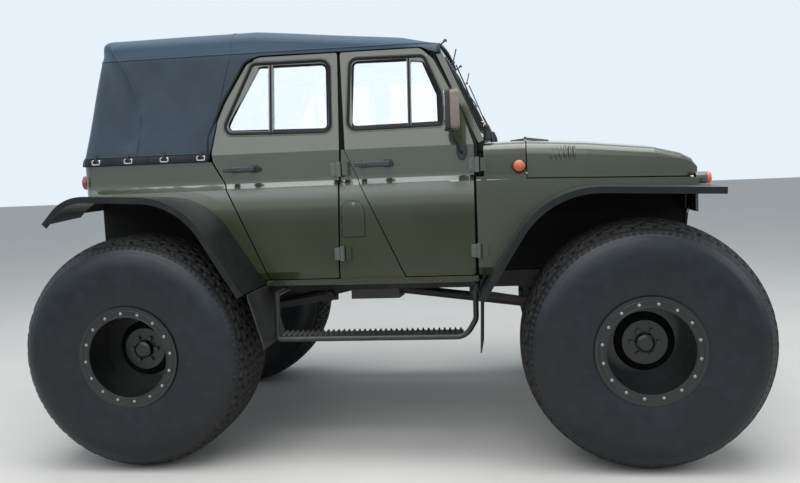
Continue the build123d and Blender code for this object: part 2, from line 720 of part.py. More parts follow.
def on_screen(corners, low, high):
    """Solid on the leaning windscreen: corners are (across, up, radius)."""
    face = outline(corners, lambda u, v: screen_plane.from_local_coords((u, v, low)))
    return Solid.extrude(face, screen_plane.z_dir * (high - low))


BASE_HALF = 770
TOP_HALF = 700
screen_outer = [
    (-BASE_HALF, 4, 0),
    (BASE_HALF, 4, 0),
    (TOP_HALF, screen_length, 40),
    (-TOP_HALF, screen_length, 40),
]
screen_opening = [
    (-BASE_HALF + 74, 66, 45),
    (BASE_HALF - 74, 66, 45),
    (TOP_HALF - 58, screen_length - 62, 45),
    (-TOP_HALF + 58, screen_length - 62, 45),
]
screen_frame = on_screen(screen_outer, -34, 0) - on_screen(screen_opening, -40, 10)
mullion = on_screen([(-14, 60), (14, 60), (14, screen_length - 58), (-14, screen_length - 58)], -30, -4)
header_ends = [screen_length - 10, screen_length + 18]
header = on_screen([(-640, header_ends[0]), (640, header_ends[0]), (640, header_ends[1]), (-640, header_ends[1])], -30, -6)
screen_frame = joined(screen_frame, mullion, header)
save("windscreen_frame", screen_frame)
pane = on_screen(screen_opening, -20, -14)
save("windscreen_glass", pane - mullion)

# Doors: outlines in X and Z with corner radii, windows, hinges, handles
FRONT_DOOR = [
    (-228, DOOR_TOP_Z, 14),
    (232, DOOR_TOP_Z, 60),
    (304, 2222, 40),
    (452, 1930, 0),
    (517, BELT_Z, 0),
    (514, 1600, 0),
    (508, DOOR_BOTTOM_Z, 16),
    (120, DOOR_BOTTOM_Z, 0),
    (-206, BELT_Z - 10, 30),
]
REAR_DOOR = [
    (-244, DOOR_TOP_Z, 14),
    (-706, DOOR_TOP_Z, 60),
    (-775, 2258, 40),
    (-906, 2039, 120),
    (-994, 1840, 90),
    (-980, 1704, 60),
    (-901, 1562, 0),
    (-800, 1329, 0),
    (-664, DOOR_BOTTOM_Z, 16),
    (-266, DOOR_BOTTOM_Z, 12),
    (-240, BELT_Z, 0),
]
FRONT_PANES = [
    [(-162, 1850, 18), (154, 1850, 10), (154, 2236, 10), (-162, 2236, 40)],
    [(174, 1862, 10), (352, 1862, 30), (352, 2004, 20), (250, 2214, 30), (174, 2224, 10)],
]
REAR_PANES = [
    [(-298, 1850, 30), (-620, 1856, 10), (-620, 2240, 10), (-298, 2236, 40)],
    [(-646, 1866, 10), (-884, 1872, 30), (-884, 1916, 20), (-704, 2236, 30), (-646, 2238, 10)],
]


def door_panel(corners, panes):
    """Right-hand door with its windows cut, and the panes that fill them."""
    panel = side_panel(corners, DOOR_INNER, DOOR_BOTTOM_Z, DOOR_TOP_Z)
    mid_skin = [(y - 14, z) for y, z in SIDE_SKIN[:3]]
    back_skin = [(y - 19, z) for y, z in SIDE_SKIN[:3]]
    sheet = along_x([(-y, z) for y, z in mid_skin + back_skin[::-1]], -1000, 560)
    glass = []
    for pane in panes:
        cutter = along_y(pane, -900, -600)
        panel = panel - cutter
        glass.append(sheet & cutter)
    return panel, glass


def hinge(x, z, seat_y, seat_width):
    """Barrel on the door's joint line, the door's own leaf, and the leaf's seat in the door."""
    barrel = rod((x, -884, z - HINGE_HALF - 5), (x, -884, z + HINGE_HALF + 5), 13)
    leaf = block(x - 44, x, -882, -867, z - HINGE_HALF, z + HINGE_HALF)
    seat = block(x - 44, x - 44 + seat_width, -870, -seat_y, z - HINGE_HALF, z + HINGE_HALF)
    return joined(barrel, leaf, seat)


def handle(x_low, x_high, z):
    """Pull handle on two short feet."""
    grip = along_z(
        [(x_low, -890, 6), (x_high, -890, 6), (x_high, -906, 6), (x_low, -906, 6)], z - 14, z + 10
    )
    feet = [block(x, x + 26, -892, -818, z - 12, z + 8) for x in (x_low + 12, x_high - 38)]
    return joined(grip, *feet)


def mirror_arm_and_head():
    """Outside mirror of the right front door, its foot flat on the door's skin."""
    foot = along_x([(-823.4, 1664), (-820.3, 1736), (-834, 1736), (-836, 1664)], 430, 470)
    arm = pipe([(450, -830, 1700), (450, -940, 1700), (420, -1010, 1790), (420, -1010, 1840)], [30, 30], 9)
    head = along_z([(398, -960, 8), (428, -930, 8), (452, -1085, 16), (412, -1100, 16)], 1818, 2026)
    return joined(arm, foot, head)


# Doors: name, outline, panes, X of the hinge line, heights of the two hinges, ends of the handle
DOORS = [
    ("front", FRONT_DOOR, FRONT_PANES, FRONT_HINGE[0], (1628, 1156), (-140, 56)),
    ("rear", REAR_DOOR, REAR_PANES, REAR_HINGE[0], (1633, 1159), (-892, -716)),
]
for name, corners, panes, hinge_x, (upper_z, lower_z), grip in DOORS:
    panel, glass = door_panel(corners, panes)
    hinges = [hinge(hinge_x, upper_z, UPPER_SEAT_Y, 34), hinge(hinge_x, lower_z, LOWER_SEAT_Y, 14)]
    panel = joined(panel, *hinges, handle(grip[0], grip[1], 1656))
    for side in ("left", "right"):
        save(f"door_{name}_{side}", on_side(panel, side))
        save(f"door_glass_{name}_{side}", [on_side(pane, side) for pane in glass])
for side in ("left", "right"):
    save(f"mirror_{side}", on_side(mirror_arm_and_head(), side))

# Tailgate: a framed panel on two barrel hinges at its lower edge
gate = block(TAIL_X - 4, TAIL_X + 28, -562, 562, 1138, HEM_Z - 6)
gate = gate - block(TAIL_X + 6, TAIL_X + 40, -520, 520, 1176, 1640)
gate_x, gate_z = TAILGATE_HINGE
gate_pin = rod((gate_x, -430, gate_z), (gate_x, -330, gate_z), 10)
gate_leaf = block(gate_x - 3, TAIL_X, -410, -350, gate_z, gate_z + 70)
save("tailgate", joined(gate, *both_sides(gate_pin, gate_leaf)))


# Soft top: a canvas shell on hoops, open below and over the doors
def top_section(x, shoulder_z, crown_z, inset):
    """Closed wire of the soft top's cross section at x."""
    wall_low = HEM_Y - inset
    shoulder_y = 716 - inset
    low = HEM_Z if inset == 0 else HEM_Z - 10
    side_z = shoulder_z - 70 - inset * 0.5
    bend_y = shoulder_y - 16
    edge_y = shoulder_y - 80
    top_z = shoulder_z - inset
    crown = crown_z - inset
    bend_z = top_z - 18
    return Wire(
        [
            Edge.make_line(Vector(x, wall_low, low), Vector(x, shoulder_y + 8, side_z)),
            Edge.make_three_point_arc(
                Vector(x, shoulder_y + 8, side_z), Vector(x, bend_y, bend_z), Vector(x, edge_y, top_z)
            ),
            Edge.make_three_point_arc(Vector(x, edge_y, top_z), Vector(x, 0, crown), Vector(x, -edge_y, top_z)),
            Edge.make_three_point_arc(
                Vector(x, -edge_y, top_z), Vector(x, -bend_y, bend_z), Vector(x, -shoulder_y - 8, side_z)
            ),
            Edge.make_line(Vector(x, -shoulder_y - 8, side_z), Vector(x, -wall_low, low)),
            Edge.make_line(Vector(x, -wall_low, low), Vector(x, wall_low, low)),
        ]
    )


def top_plan(z, inset):
    """Closed wire around the soft top at height z, seen from above, its rear corners round."""
    tail = TOP_TAIL_X + TAIL_LEAN * (z - HEM_Z) + inset
    side = HEM_Y + 3 - SIDE_LEAN * (z - HEM_Z) - inset
    radius = TOP_CORNER - inset
    bend = radius * (1 - math.sqrt(0.5))
    ahead = TOP_TABLE[0][0] + 100
    left_arc = [(tail + radius, side), (tail + bend, side - bend), (tail, side - radius)]
    right_arc = [(x, -y) for x, y in reversed(left_arc)]
    first, last = Vector(ahead, side, z), Vector(ahead, -side, z)
    arcs = [[Vector(x, y, z) for x, y in arc] for arc in (left_arc, right_arc)]
    return Wire(
        [
            Edge.make_line(first, arcs[0][0]),
            Edge.make_three_point_arc(*arcs[0]),
            Edge.make_line(arcs[0][2], arcs[1][0]),
            Edge.make_three_point_arc(*arcs[1]),
            Edge.make_line(arcs[1][2], last),
            Edge.make_line(last, first),
        ]
    )


def top_body(inset):
    """The soft top filled solid: its sections along X, kept to its plan."""
    long = Solid.make_loft([top_section(*row, inset) for row in TOP_TABLE], ruled=True)
    upright = Solid.make_loft([top_plan(z, inset) for z in (HEM_Z - 20, 2500)], ruled=True)
    return long & upright


soft_top = top_body(0) - top_body(CANVAS)
over_doors = [
    (600, 1600),
    (600, 2296),
    (-700, 2298),
    (-782, 2268),
    (-914, 2045),
    (-1003, 1842),
    (-992, 1712),
    (-992, 1600),
]
soft_top = soft_top - along_y(over_doors, -1000, 1000)
rear_window = [(-330, 1840, 40), (330, 1840, 40), (330, 2200, 40), (-330, 2200, 40)]
soft_top = soft_top - along_x(rear_window, -1900, -1500)
save("soft_top", soft_top)


# Hoops and rails under the soft top
RAIL_Z = 2252
HOOP_TOP_Z = 2416
hoop_tubes = []
# X of a hoop and the height of its feet
for x, foot_z in ((-700, 1560), (-1580, 1700)):
    hoop = pipe([(x, -664, foot_z), (x, -664, HOOP_TOP_Z), (x, 664, HOOP_TOP_Z), (x, 664, foot_z)], [90, 90], 14)
    hoop_tubes.append(hoop)
side_rail = rod((300, -664, RAIL_Z + 10), (-1580, -664, RAIL_Z + 10), 12)
roof_frame = joined(*hoop_tubes, *both_sides(side_rail))
save("roof_frame", roof_frame)


# Flares: bent sheets that run from the body out to a turned-down lip
def flare(root, lip):
    def section(path, y):
        loop = path + offset_path(path, FLARE_SHEET)[::-1]
        return outline(loop, lambda u, v: (u, y, v)).outer_wire()

    flange = band(root, FLARE_SHEET, -868, -839)
    sheet = Solid.make_loft([section(root, -868), section(lip, -FLARE_OUTER_Y)], ruled=True)
    edge = band(lip, FLARE_LIP, -FLARE_OUTER_Y - 10, -FLARE_OUTER_Y)
    return joined(flange, sheet, edge)


save("flares", both_sides(flare(REAR_ARCH, REAR_FLARE), flare(FRONT_FLARE, FRONT_FLARE)))
rear_flap = along_y([(-702, 986), (-694, 986), (-694, 970), (-616, 690), (-624, 690), (-702, 968)], -1200, -780)
under = offset_path(FRONT_FLARE, FLARE_SHEET)[-1]
rise = (Vector(893, 1508) - Vector(532, 936)).normalized() * 30
front_flap = along_y(
    [
        (under[0], under[1]),
        (under[0] + rise.X, under[1] + rise.Y),
        (under[0] + rise.X + 6, under[1] + rise.Y - 4),
        (under[0] + 8, under[1] - 8),
        (541, 655),
        (534, 655),
        (under[0] + 1, under[1] - 8),
    ],
    -1200,
    -860,
)
save("mud_flaps", both_sides(rear_flap, front_flap))


# Side steps: a bent tube, an inner tube and an open tread
def side_step():
    rail_z = 703
    outer = pipe(
        [(-590, -1010, 958), (-600, -1010, rail_z), (450, -1010, rail_z), (508, -1010, 800), (510, -1010, 958)],
        [20, 90, 60],
        15,
    )
    inner_rail = rod((-586, -880, rail_z), (430, -880, rail_z), 13)
    ties = [rod((x, -1010, rail_z), (x, -880, rail_z), 10) for x in (-560, -60, 400)]
    stubs = [rod((x, -1010, 955), (x, -740, 955), 14) for x in (-590, 510)]
    feet = [block(x - 20, x + 20, -800, -730, 952, 972) for x in (-590, 495)]
    tread = block(-586, 430, -1002, -876, 709, 716)
    return joined(outer, inner_rail, *ties, *stubs, *feet, tread)


save("side_steps", both_sides(side_step()))

# Bumpers and the towing pieces
front_bar = along_y([(1661, 862, 10), (1738, 862, 10), (1738, 972, 10), (1661, 972, 10)], -420, 420)
bar_face = REAR_BAR_X - 80
rear_bar = along_y(
    [(bar_face, 880, 10), (REAR_BAR_X, 880, 10), (REAR_BAR_X, 990, 10), (bar_face, 990, 10)], -420, 420
)
save("bumpers", front_bar, rear_bar)
drawbar = along_z([(bar_face, -60), (bar_face, 60), (bar_face - 80, 40), (bar_face - 80, -40)], 915, 935)
drawbar = drawbar - Solid.make_cylinder(15, 100, Plane(origin=(bar_face - 45, 0, 870), z_dir=(0, 0, 1)))
save("rear_drawbar", drawbar)

# Lamps
side_lamp_z = 1504
parking = rod((1704, -752, side_lamp_z), (1776, -752, side_lamp_z), 33)
save("parking_lamps", both_sides(parking))
repeater = rod((762, -760, 1609), (762, -790, 1609), 33)
save("indicators", both_sides(repeater))
tail_lamp = rod((TAIL_X, -722, 1612), (TAIL_X - 34, -722, 1612), 42)
save("tail_lamps", both_sides(tail_lamp))


# Seats, dashboard and steering wheel
def seat(x, y, width):
    cushion = along_y([(x, 1240, 30), (x + 480, 1260, 50), (x + 480, 1390, 50), (x, 1370, 30)], y - width / 2, y + width / 2)
    back = along_y(
        [(x - 30, 1372, 20), (x + 90, 1372, 20), (x + 10, 1900, 50), (x - 110, 1900, 50)], y - width / 2, y + width / 2
    )
    return joined(cushion, back)


front_base = block(-200, 180, -620, -220, FLOOR_Z + 8, 1244)
save("front_seats", both_sides(joined(seat(-250, -420, 480), front_base)))
bench_base = along_y([(-664, 1162), (-490, 1162), (-490, 1250), (-860, 1250), (-860, 1132), (-664, 1132)], -520, 520)
bench_legs = both_sides(block(-620, -500, -420, -300, FLOOR_Z + 8, 1164))
save("rear_bench", joined(seat(-900, 0, 1120), bench_base, *bench_legs))
dash = along_y([(600, 1500), (600, 1700), (470, 1690, 40), (450, 1560, 40), (520, 1500)], -690, 690)
WHEEL_CENTRE = (300, 380, 1600)
COLUMN_TILT = math.radians(32)
column_axis = (-math.cos(COLUMN_TILT), 0, math.sin(COLUMN_TILT))
wheel_plane = Plane(origin=WHEEL_CENTRE, z_dir=column_axis)
boss = Pos(0, 0, -15) * Cylinder(34, 40)
spokes = [Rot(0, 0, angle) * Pos(100, 0, -8) * Box(190, 22, 8) for angle in (90, 210, 330)]
steering_wheel = joined(Torus(195, 12), boss, *spokes)
save("steering_wheel", wheel_plane * steering_wheel)
column_start = Vector(*WHEEL_CENTRE) - Vector(*column_axis) * 41
column_end = Vector(*WHEEL_CENTRE) - Vector(*column_axis) * 230
column = rod(column_start, column_end, 20)
save("dashboard", joined(dash, column))
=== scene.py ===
import math

import bmesh
import bpy
import numpy as np
from mathutils import Matrix, Vector


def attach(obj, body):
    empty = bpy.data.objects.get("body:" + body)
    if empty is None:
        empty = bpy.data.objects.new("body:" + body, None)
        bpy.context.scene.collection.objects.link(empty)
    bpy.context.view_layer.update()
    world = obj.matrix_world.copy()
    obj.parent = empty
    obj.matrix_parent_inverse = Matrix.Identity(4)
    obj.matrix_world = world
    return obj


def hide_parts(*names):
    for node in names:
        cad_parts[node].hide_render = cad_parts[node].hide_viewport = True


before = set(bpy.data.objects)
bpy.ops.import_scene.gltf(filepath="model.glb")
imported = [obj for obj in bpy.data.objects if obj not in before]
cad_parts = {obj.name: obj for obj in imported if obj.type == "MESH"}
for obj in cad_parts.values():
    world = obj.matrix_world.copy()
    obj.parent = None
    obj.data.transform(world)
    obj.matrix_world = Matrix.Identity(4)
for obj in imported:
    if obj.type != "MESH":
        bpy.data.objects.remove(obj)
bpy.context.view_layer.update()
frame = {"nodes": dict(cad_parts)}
nodes = frame["nodes"]
scene = bpy.context.scene
TURN = 2 * math.pi

# Camera: on the vehicle's right, a little below the roof, turned slightly towards the tail
LENS_MM = 38.34
CAMERA_PLACE = (0.7352, -5.5562, 1.6633)
YAW, PITCH, ROLL = 0.1364, 0.0940, -0.0424


def make_camera():
    """Camera axes: level forward turned by yaw, tipped down by pitch, then rolled about itself."""
    up = Vector((0, 0, 1))
    level = Vector((-math.sin(YAW), math.cos(YAW), 0))
    right = Vector((math.cos(YAW), math.sin(YAW), 0))
    ahead = level * math.cos(PITCH) - up * math.sin(PITCH)
    tipped = up * math.cos(PITCH) + level * math.sin(PITCH)
    across = right * math.cos(ROLL) + tipped * math.sin(ROLL)
    upright = tipped * math.cos(ROLL) - right * math.sin(ROLL)
    camera = bpy.data.objects.new("camera", bpy.data.cameras.new("camera"))
    camera.data.lens = LENS_MM
    turn = Matrix((across, upright, -ahead)).transposed().to_4x4()
    camera.matrix_world = Matrix.Translation(CAMERA_PLACE) @ turn
    scene.collection.objects.link(camera)
    scene.camera = camera


make_camera()


# Finishes
class Value:
    """One output of a node. Arithmetic on values adds Math nodes."""

    def __init__(self, nodes, socket):
        self.nodes = nodes
        self.socket = socket

    def math(self, operation, *terms):
        return self.nodes.node("ShaderNodeMath", {"operation": operation}, dict(enumerate(terms)))

    def __add__(self, other):
        return self.math("ADD", self, other)

    __radd__ = __add__

    def __sub__(self, other):
        return self.math("SUBTRACT", self, other)

    def __rsub__(self, other):
        return self.math("SUBTRACT", other, self)

    def __mul__(self, other):
        return self.math("MULTIPLY", self, other)

    __rmul__ = __mul__

    def __lt__(self, other):
        return self.math("LESS_THAN", self, other)

    def __abs__(self):
        return self.math("ABSOLUTE", self)

    def ramp(self, low, high, way="SMOOTHSTEP"):
        """0 below low, 1 above high, and smooth between them, or straight where way is LINEAR."""
        sockets = {"Value": self, "From Min": low, "From Max": high}
        return self.nodes.node("ShaderNodeMapRange", {"interpolation_type": way}, sockets)


class Nodes:
    """The empty node tree of a material or of the world."""

    def __init__(self, owner):
        owner.use_nodes = True
        self.tree = owner.node_tree
        self.tree.nodes.clear()

    def node(self, kind, settings=None, sockets=None, output=0):
        """A node of that kind: its settings first, then the values or links of its sockets."""
        made = self.tree.nodes.new(kind)
        for key, value in (settings or {}).items():
            setattr(made, key, value)
        for key, value in (sockets or {}).items():
            if isinstance(value, Value):
                self.tree.links.new(value.socket, made.inputs[key])
            else:
                made.inputs[key].default_value = value
        return Value(self, made.outputs[output]) if made.outputs else None


class Finish(Nodes):
    """One procedural material, on the object's own coordinates in metres."""

    def __init__(self, name):
        self.material = bpy.data.materials.new(name)
        super().__init__(self.material)
        self.place = self.node("ShaderNodeTexCoord", output="Object")
        apart = [self.node("ShaderNodeSeparateXYZ", {}, {0: self.place}, axis) for axis in "XYZ"]
        self.x, self.y, self.z = apart

    def noise(self, scale, detail=3.0, stretch=(1, 1, 1), rough=0.55):
        """Cloudy value from 0 to 1; scale is in waves a metre."""
        place = self.node("ShaderNodeMapping", {}, {"Vector": self.place, "Scale": stretch})
        sockets = {"Vector": place, "Scale": scale, "Detail": detail, "Roughness": rough}
        return self.node("ShaderNodeTexNoise", {}, sockets)

    def cells(self, scale):
        """Distance to the nearest of scattered points."""
        return self.node("ShaderNodeTexVoronoi", {}, {"Vector": self.place, "Scale": scale})

    def wave(self, scale, direction="X"):
        """Sine bands across one axis."""
        settings = {"wave_type": "BANDS", "bands_direction": direction}
        return self.node("ShaderNodeTexWave", settings, {"Vector": self.place, "Scale": scale}, "Fac")

    def own(self, name):
        """A number that the piece keeps at each of its points."""
        return self.node("ShaderNodeAttribute", {"attribute_name": name}, {}, "Fac")

    def mix(self, mask, first, second):
        """The first colour where mask is 0, the second where it is 1."""
        sockets = {0: mask}
        for index, colour in ((6, first), (7, second)):
            sockets[index] = colour if isinstance(colour, Value) else (*colour, 1)
        return self.node("ShaderNodeMix", {"data_type": "RGBA"}, sockets, 2)

    def shaded(self, mask, colour, dark, light):
        """The colour times dark where mask is 0, times light where it is 1."""
        return self.mix(mask, *[tuple(min(c * share, 1) for c in colour) for share in (dark, light)])

    def end(self, colour, roughness, relief=None, relief_mm=0.3, fixed=None):
        """Ends the finish with its shader; relief from 0 to 1 stands relief_mm high."""
        sockets = {
            "Base Color": colour if isinstance(colour, Value) else (*colour, 1),
            "Roughness": roughness,
        }
        if relief is not None:
            bump = {"Height": relief, "Distance": relief_mm / 1000, "Strength": 1.0}
            sockets["Normal"] = self.node("ShaderNodeBump", {}, bump)
        sockets.update(fixed or {})
        shader = self.node("ShaderNodeBsdfPrincipled", {}, sockets)
        self.node("ShaderNodeOutputMaterial", {}, {"Surface": shader})
        return self.material


def tone(red, green, blue):
    """Linear colour of a paint card's 0 to 255 numbers."""
    parts = np.array((red, green, blue)) / 255
    return tuple(np.where(parts < 0.04045, parts / 12.92, ((parts + 0.055) / 1.055) ** 2.4).tolist())


DUST = tone(112, 102, 88)
OLIVE = tone(45, 51, 31)
PEEL_MM, ROLL_MM = 0.3, 50


def painted(name, colour=OLIVE, gloss=1.0, rough=0.2, dust_top=1.15, dusty=0.14, shell=False, side=False):
    """Sprayed paint: faint orange peel, uneven sheen, dust that gathers below a height. A shell's inner
    sheets, nearer the middle plane than its skin and below the fender tops, are near-black: underseal,
    and painted shade under the fenders and inside the body. A side rolls inwards below its shoulder crease
    by 50 mm * t^2, t from 0 at 1.41 m to 1 at 1.54 m, and is duller further down and above the crease."""
    f = Finish(name)
    cloud = f.noise(2.5, 4)
    fine = f.noise(60, 3)
    low = (dust_top - f.z).ramp(0.0, 0.35) * fine.ramp(0.35, 0.75) * dusty
    shade = f.mix(low, f.shaded(cloud.ramp(0.3, 0.7), colour, 0.90, 1.08), DUST)
    sheen = rough + cloud * 0.08 + low * 0.8
    if shell:
        # Near-black inner sheets: underseal, and painted shade under the fenders and inside the body
        inner = (abs(f.y) < 0.8425) * (f.z < 1.4995) * (f.x < 1.688)
        shade = f.mix(inner, shade, f.mix(fine.ramp(0.3, 0.8), tone(9, 9, 9), tone(19, 18, 16)))
        sheen = sheen + inner * 0.6
        gloss = gloss * (1 - inner)
    relief, height_mm = f.noise(420, 2) * 0.3 + f.noise(9, 2), PEEL_MM
    if side:
        roll = f.z.ramp(1.41, 1.54, "LINEAR")
        crease = f.z.ramp(1.54, 1.572, "LINEAR")
        relief, height_mm = relief * (PEEL_MM / ROLL_MM) - roll * roll + crease * 0.37, ROLL_MM
        gloss = f.z.ramp(1.33, 1.47) * (1 - f.z.ramp(1.56, 1.60) * 0.55) * (gloss * 0.85) + gloss * 0.15
    return f.end(shade, sheen, relief, height_mm, {
        "Coat Weight": gloss, "Coat Roughness": 0.05 if side else 0.2, "Coat IOR": 2.1 if side else 1.65,
        "Specular IOR Level": 0.3,
    })


def moulded(name, colour, rough=0.5, grain=900, grain_mm=0.12, dusty=0.25, shine=0.5):
    """Grained plastic or cast metal: pebbled relief, dust in its hollows."""
    f = Finish(name)
    pebble = f.cells(grain)
    dust = f.noise(7, 5).ramp(0.45, 0.8) * dusty
    shade = f.shaded(f.noise(25, 3).ramp(0.3, 0.7), colour, 0.85, 1.12)
    return f.end(f.mix(dust, shade, DUST), rough + dust * 0.6 + f.noise(40, 2) * 0.1, pebble, grain_mm, {
        "Specular IOR Level": shine,
    })


def bare_metal(name, colour, rough=0.35, stained=0.3):
    """Zinc or machined metal: cloudy sheen, fine scratches, brown stains."""
    f = Finish(name)
    stain = f.noise(30, 5).ramp(0.52, 0.75) * stained
    scratch = f.noise(500, 2, (1, 0.06, 1))
    shade = f.mix(stain, colour, tone(96, 70, 50))
    return f.end(shade, rough + scratch * 0.15 + stain * 0.5, scratch, 0.05, {"Metallic": 0.9})


def underbody(name, colour):
    """Black chassis paint: matt, with patches of road dust and freckles of rust."""
    f = Finish(name)
    rust = f.noise(35, 6).ramp(0.60, 0.72) * 0.6
    dust = f.noise(5, 4).ramp(0.4, 0.8) * 0.35
    shade = f.mix(dust, f.mix(rust, colour, tone(84, 52, 34)), DUST)
    return f.end(shade, 0.55 + rust * 0.3 + dust * 0.3, f.noise(220, 4), 0.25)


def tyre_rubber():
    """Smooth sidewall with faint haze and scuffs, its tones tinted blue as a painted reflection of the sky;
    block tops dusted brown, grooves nearly black as painted shade.
    """
    f = Finish("tyre_rubber")
    top = f.own("block_top")
    scuff = f.noise(16, 5)
    # Sidewall tones and haze tinted blue: painted reflection of the sky on the rubber's own dark tone
    side = f.mix(scuff.ramp(0.35, 0.7), tone(11, 15, 19), tone(19, 25, 31))
    haze = f.noise(1.6, 3).ramp(0.45, 0.80) * 0.15
    side = f.mix(haze, side, tone(50, 58, 64))
    tread = f.mix(f.noise(45, 4).ramp(0.3, 0.7), tone(22, 22, 22), tone(46, 43, 39))
    # Near-black in the grooves and stitch cuts: painted shade
    tread = f.mix(f.own("groove_shade"), tread, tone(9, 9, 10))
    shade = f.mix(top, side, tread)
    relief = f.noise(260, 4) * 0.5 + f.noise(30, 3) * 0.3
    return f.end(shade, 0.31 + scuff * 0.12 + top * 0.34, relief, 0.3, {"Specular IOR Level": 0.38})


def canvas():
    """Coated tarpaulin: tight weave, chalky wear on folds, water marks, and painted skylight, lighter and
    bluer over the roof.
    """
    f = Finish("canvas")
    weave = f.wave(330, "X") * 0.5 + f.wave(330, "Z") * 0.5
    wear = f.noise(2.2, 6, rough=0.65)
    streak = f.noise(5, 4, (1, 1, 0.18))
    shade = f.mix(wear.ramp(0.3, 0.75), tone(29, 41, 51), tone(42, 58, 71))
    shade = f.mix(streak.ramp(0.5, 0.85) * 0.4, shade, tone(58, 76, 90))
    # Lighter and bluer over the roof: painted light from the sky
    shade = f.mix(f.z.ramp(2.28, 2.34) * 0.6, shade, tone(52, 76, 94))
    return f.end(shade, 0.36 + wear * 0.22, weave * 0.35 + f.noise(14, 4) * 2.4, 0.9, {
        "Sheen Weight": 0.10, "Sheen Roughness": 0.5, "Sheen Tint": (0.7, 0.86, 1.0, 1),
        "Specular IOR Level": 0.3,
    })


def pane_glass(name, shade, share):
    """Window: that share mirrors the surroundings, the rest lets light through."""
    f = Finish(name)
    haze = f.noise(3.5, 4).ramp(0.4, 0.9) * 0.08
    return f.end(shade, 0.02 + haze, None, 0, {"Metallic": 1.0, "Alpha": share})


def lens(name, colour):
    """Ribbed lamp lens of tinted glass under a clear coat."""
    f = Finish(name)
    rib = f.wave(160, "Z") * f.wave(120, "X")
    shade = f.shaded(rib.ramp(0.2, 0.8), colour, 0.7, 1.25)
    return f.end(shade, 0.10 + rib * 0.08, rib, 0.3, {"Coat Weight": 0.8, "Coat Roughness": 0.04})


def vinyl(name, colour):
    """Seat leathercloth: leather cells, worn lighter on its high places."""
    f = Finish(name)
    grain = f.cells(420)
    wear = f.noise(7, 5).ramp(0.45, 0.75)
    return f.end(f.shaded(wear, colour, 0.85, 1.25), 0.42 + wear * 0.12, grain, 0.25)


paint = painted("paint")
side_paint = painted("side_paint", side=True)
hinge_paint = painted("hinge_paint", tone(80, 85, 78), 0.5, 0.3, dusty=0.22)
shell_paint = painted("shell_paint", shell=True)
paint_black = painted("rim_paint", tone(11, 13, 14), 0.4, 0.36, 0.9, 0.04)
step_paint = painted("step_paint", tone(28, 31, 27), 0.2, 0.42, 0.9, 0.22)
rubber = tyre_rubber()
top_cloth = canvas()
hem_cloth = moulded("hem_cloth", tone(15, 21, 27), 0.30, 900, 0.10, 0.0, 0.2)
chassis_black = underbody("chassis_black", tone(26, 26, 26))
cast_metal = underbody("cast", tone(74, 74, 72))
flare_plastic = moulded("flare_plastic", tone(15, 19, 19), 0.30, 1100, 0.08, 0.06, 0.3)
flap_rubber = moulded("flap_rubber", tone(20, 22, 20), 0.5, 500, 0.15, 0.12)
trim_black = moulded("trim_black", tone(20, 21, 22), 0.4, 1400, 0.05, 0.1)
seal_rubber = moulded("seal_rubber", tone(10, 11, 12), 0.55, 1600, 0.04, 0.06, 0.2)
handle_black = moulded("handle_black", tone(40, 44, 49), 0.32, 1500, 0.04, 0.1)
mirror_grey = moulded("mirror_shell", tone(116, 107, 99), 0.42, 1300, 0.06, 0.15)
dash_black = moulded("dash_plastic", tone(42, 43, 42), 0.5, 700, 0.15)
seat_cloth = vinyl("seat_vinyl", tone(52, 50, 46))
bright_metal = bare_metal("bright_metal", tone(206, 209, 210), 0.2, 0.1)
bolt_metal = bare_metal("bolt_metal", tone(150, 154, 156), 0.35, 0.25)
window_glass = pane_glass("window_glass", tone(224, 231, 238), 0.42)
screen_glass = pane_glass("screen_glass", tone(206, 224, 228), 0.30)
mirror_glass = pane_glass("mirror_glass", tone(226, 232, 236), 1.0)
clear_lens = lens("lamp_glass", tone(196, 204, 206))
amber_lens = lens("amber", tone(206, 96, 34))
red_lens = lens("red", tone(150, 30, 22))

NODE_FINISHES = [
    (paint, "cowl grille_panel hood tailgate windscreen_frame"),
    (side_paint, "door_front_left door_front_right door_rear_left door_rear_right"),
    (side_paint, "quarter_panels side_frames"),
    (shell_paint, "fenders rear_tub floor_pan"),
    (window_glass, "door_glass_front_left door_glass_front_right door_glass_rear_left door_glass_rear_right"),
    (screen_glass, "windscreen_glass"),
    (chassis_black, "frame_rails front_axle rear_axle radius_arms propshafts fuel_tank rear_drawbar springs"),
    (chassis_black, "bumpers tie_rod knuckle_left knuckle_right roof_frame"),
    (cast_metal, "engine_and_gearbox exhaust"),
    (flare_plastic, "flares"),
    (flap_rubber, "mud_flaps"),
    (paint_black, "rim_front_left rim_front_right rim_rear_left rim_rear_right"),
    (trim_black, "mirror_left mirror_right"),
    (dash_black, "dashboard steering_wheel"),
    (step_paint, "side_steps"),
    (seat_cloth, "front_seats rear_bench"),
    (clear_lens, "headlamps parking_lamps"),
    (amber_lens, "indicators"),
    (red_lens, "tail_lamps"),
    (top_cloth, "soft_top"),
    (rubber, "tyre_front_left tyre_front_right tyre_rear_left tyre_rear_right"),
]
for finish, names in NODE_FINISHES:
    for name in names.split():
        node = nodes[name]
        if not node.material_slots:
            node.data.materials.append(finish)
        for held in node.material_slots:
            held.material = finish


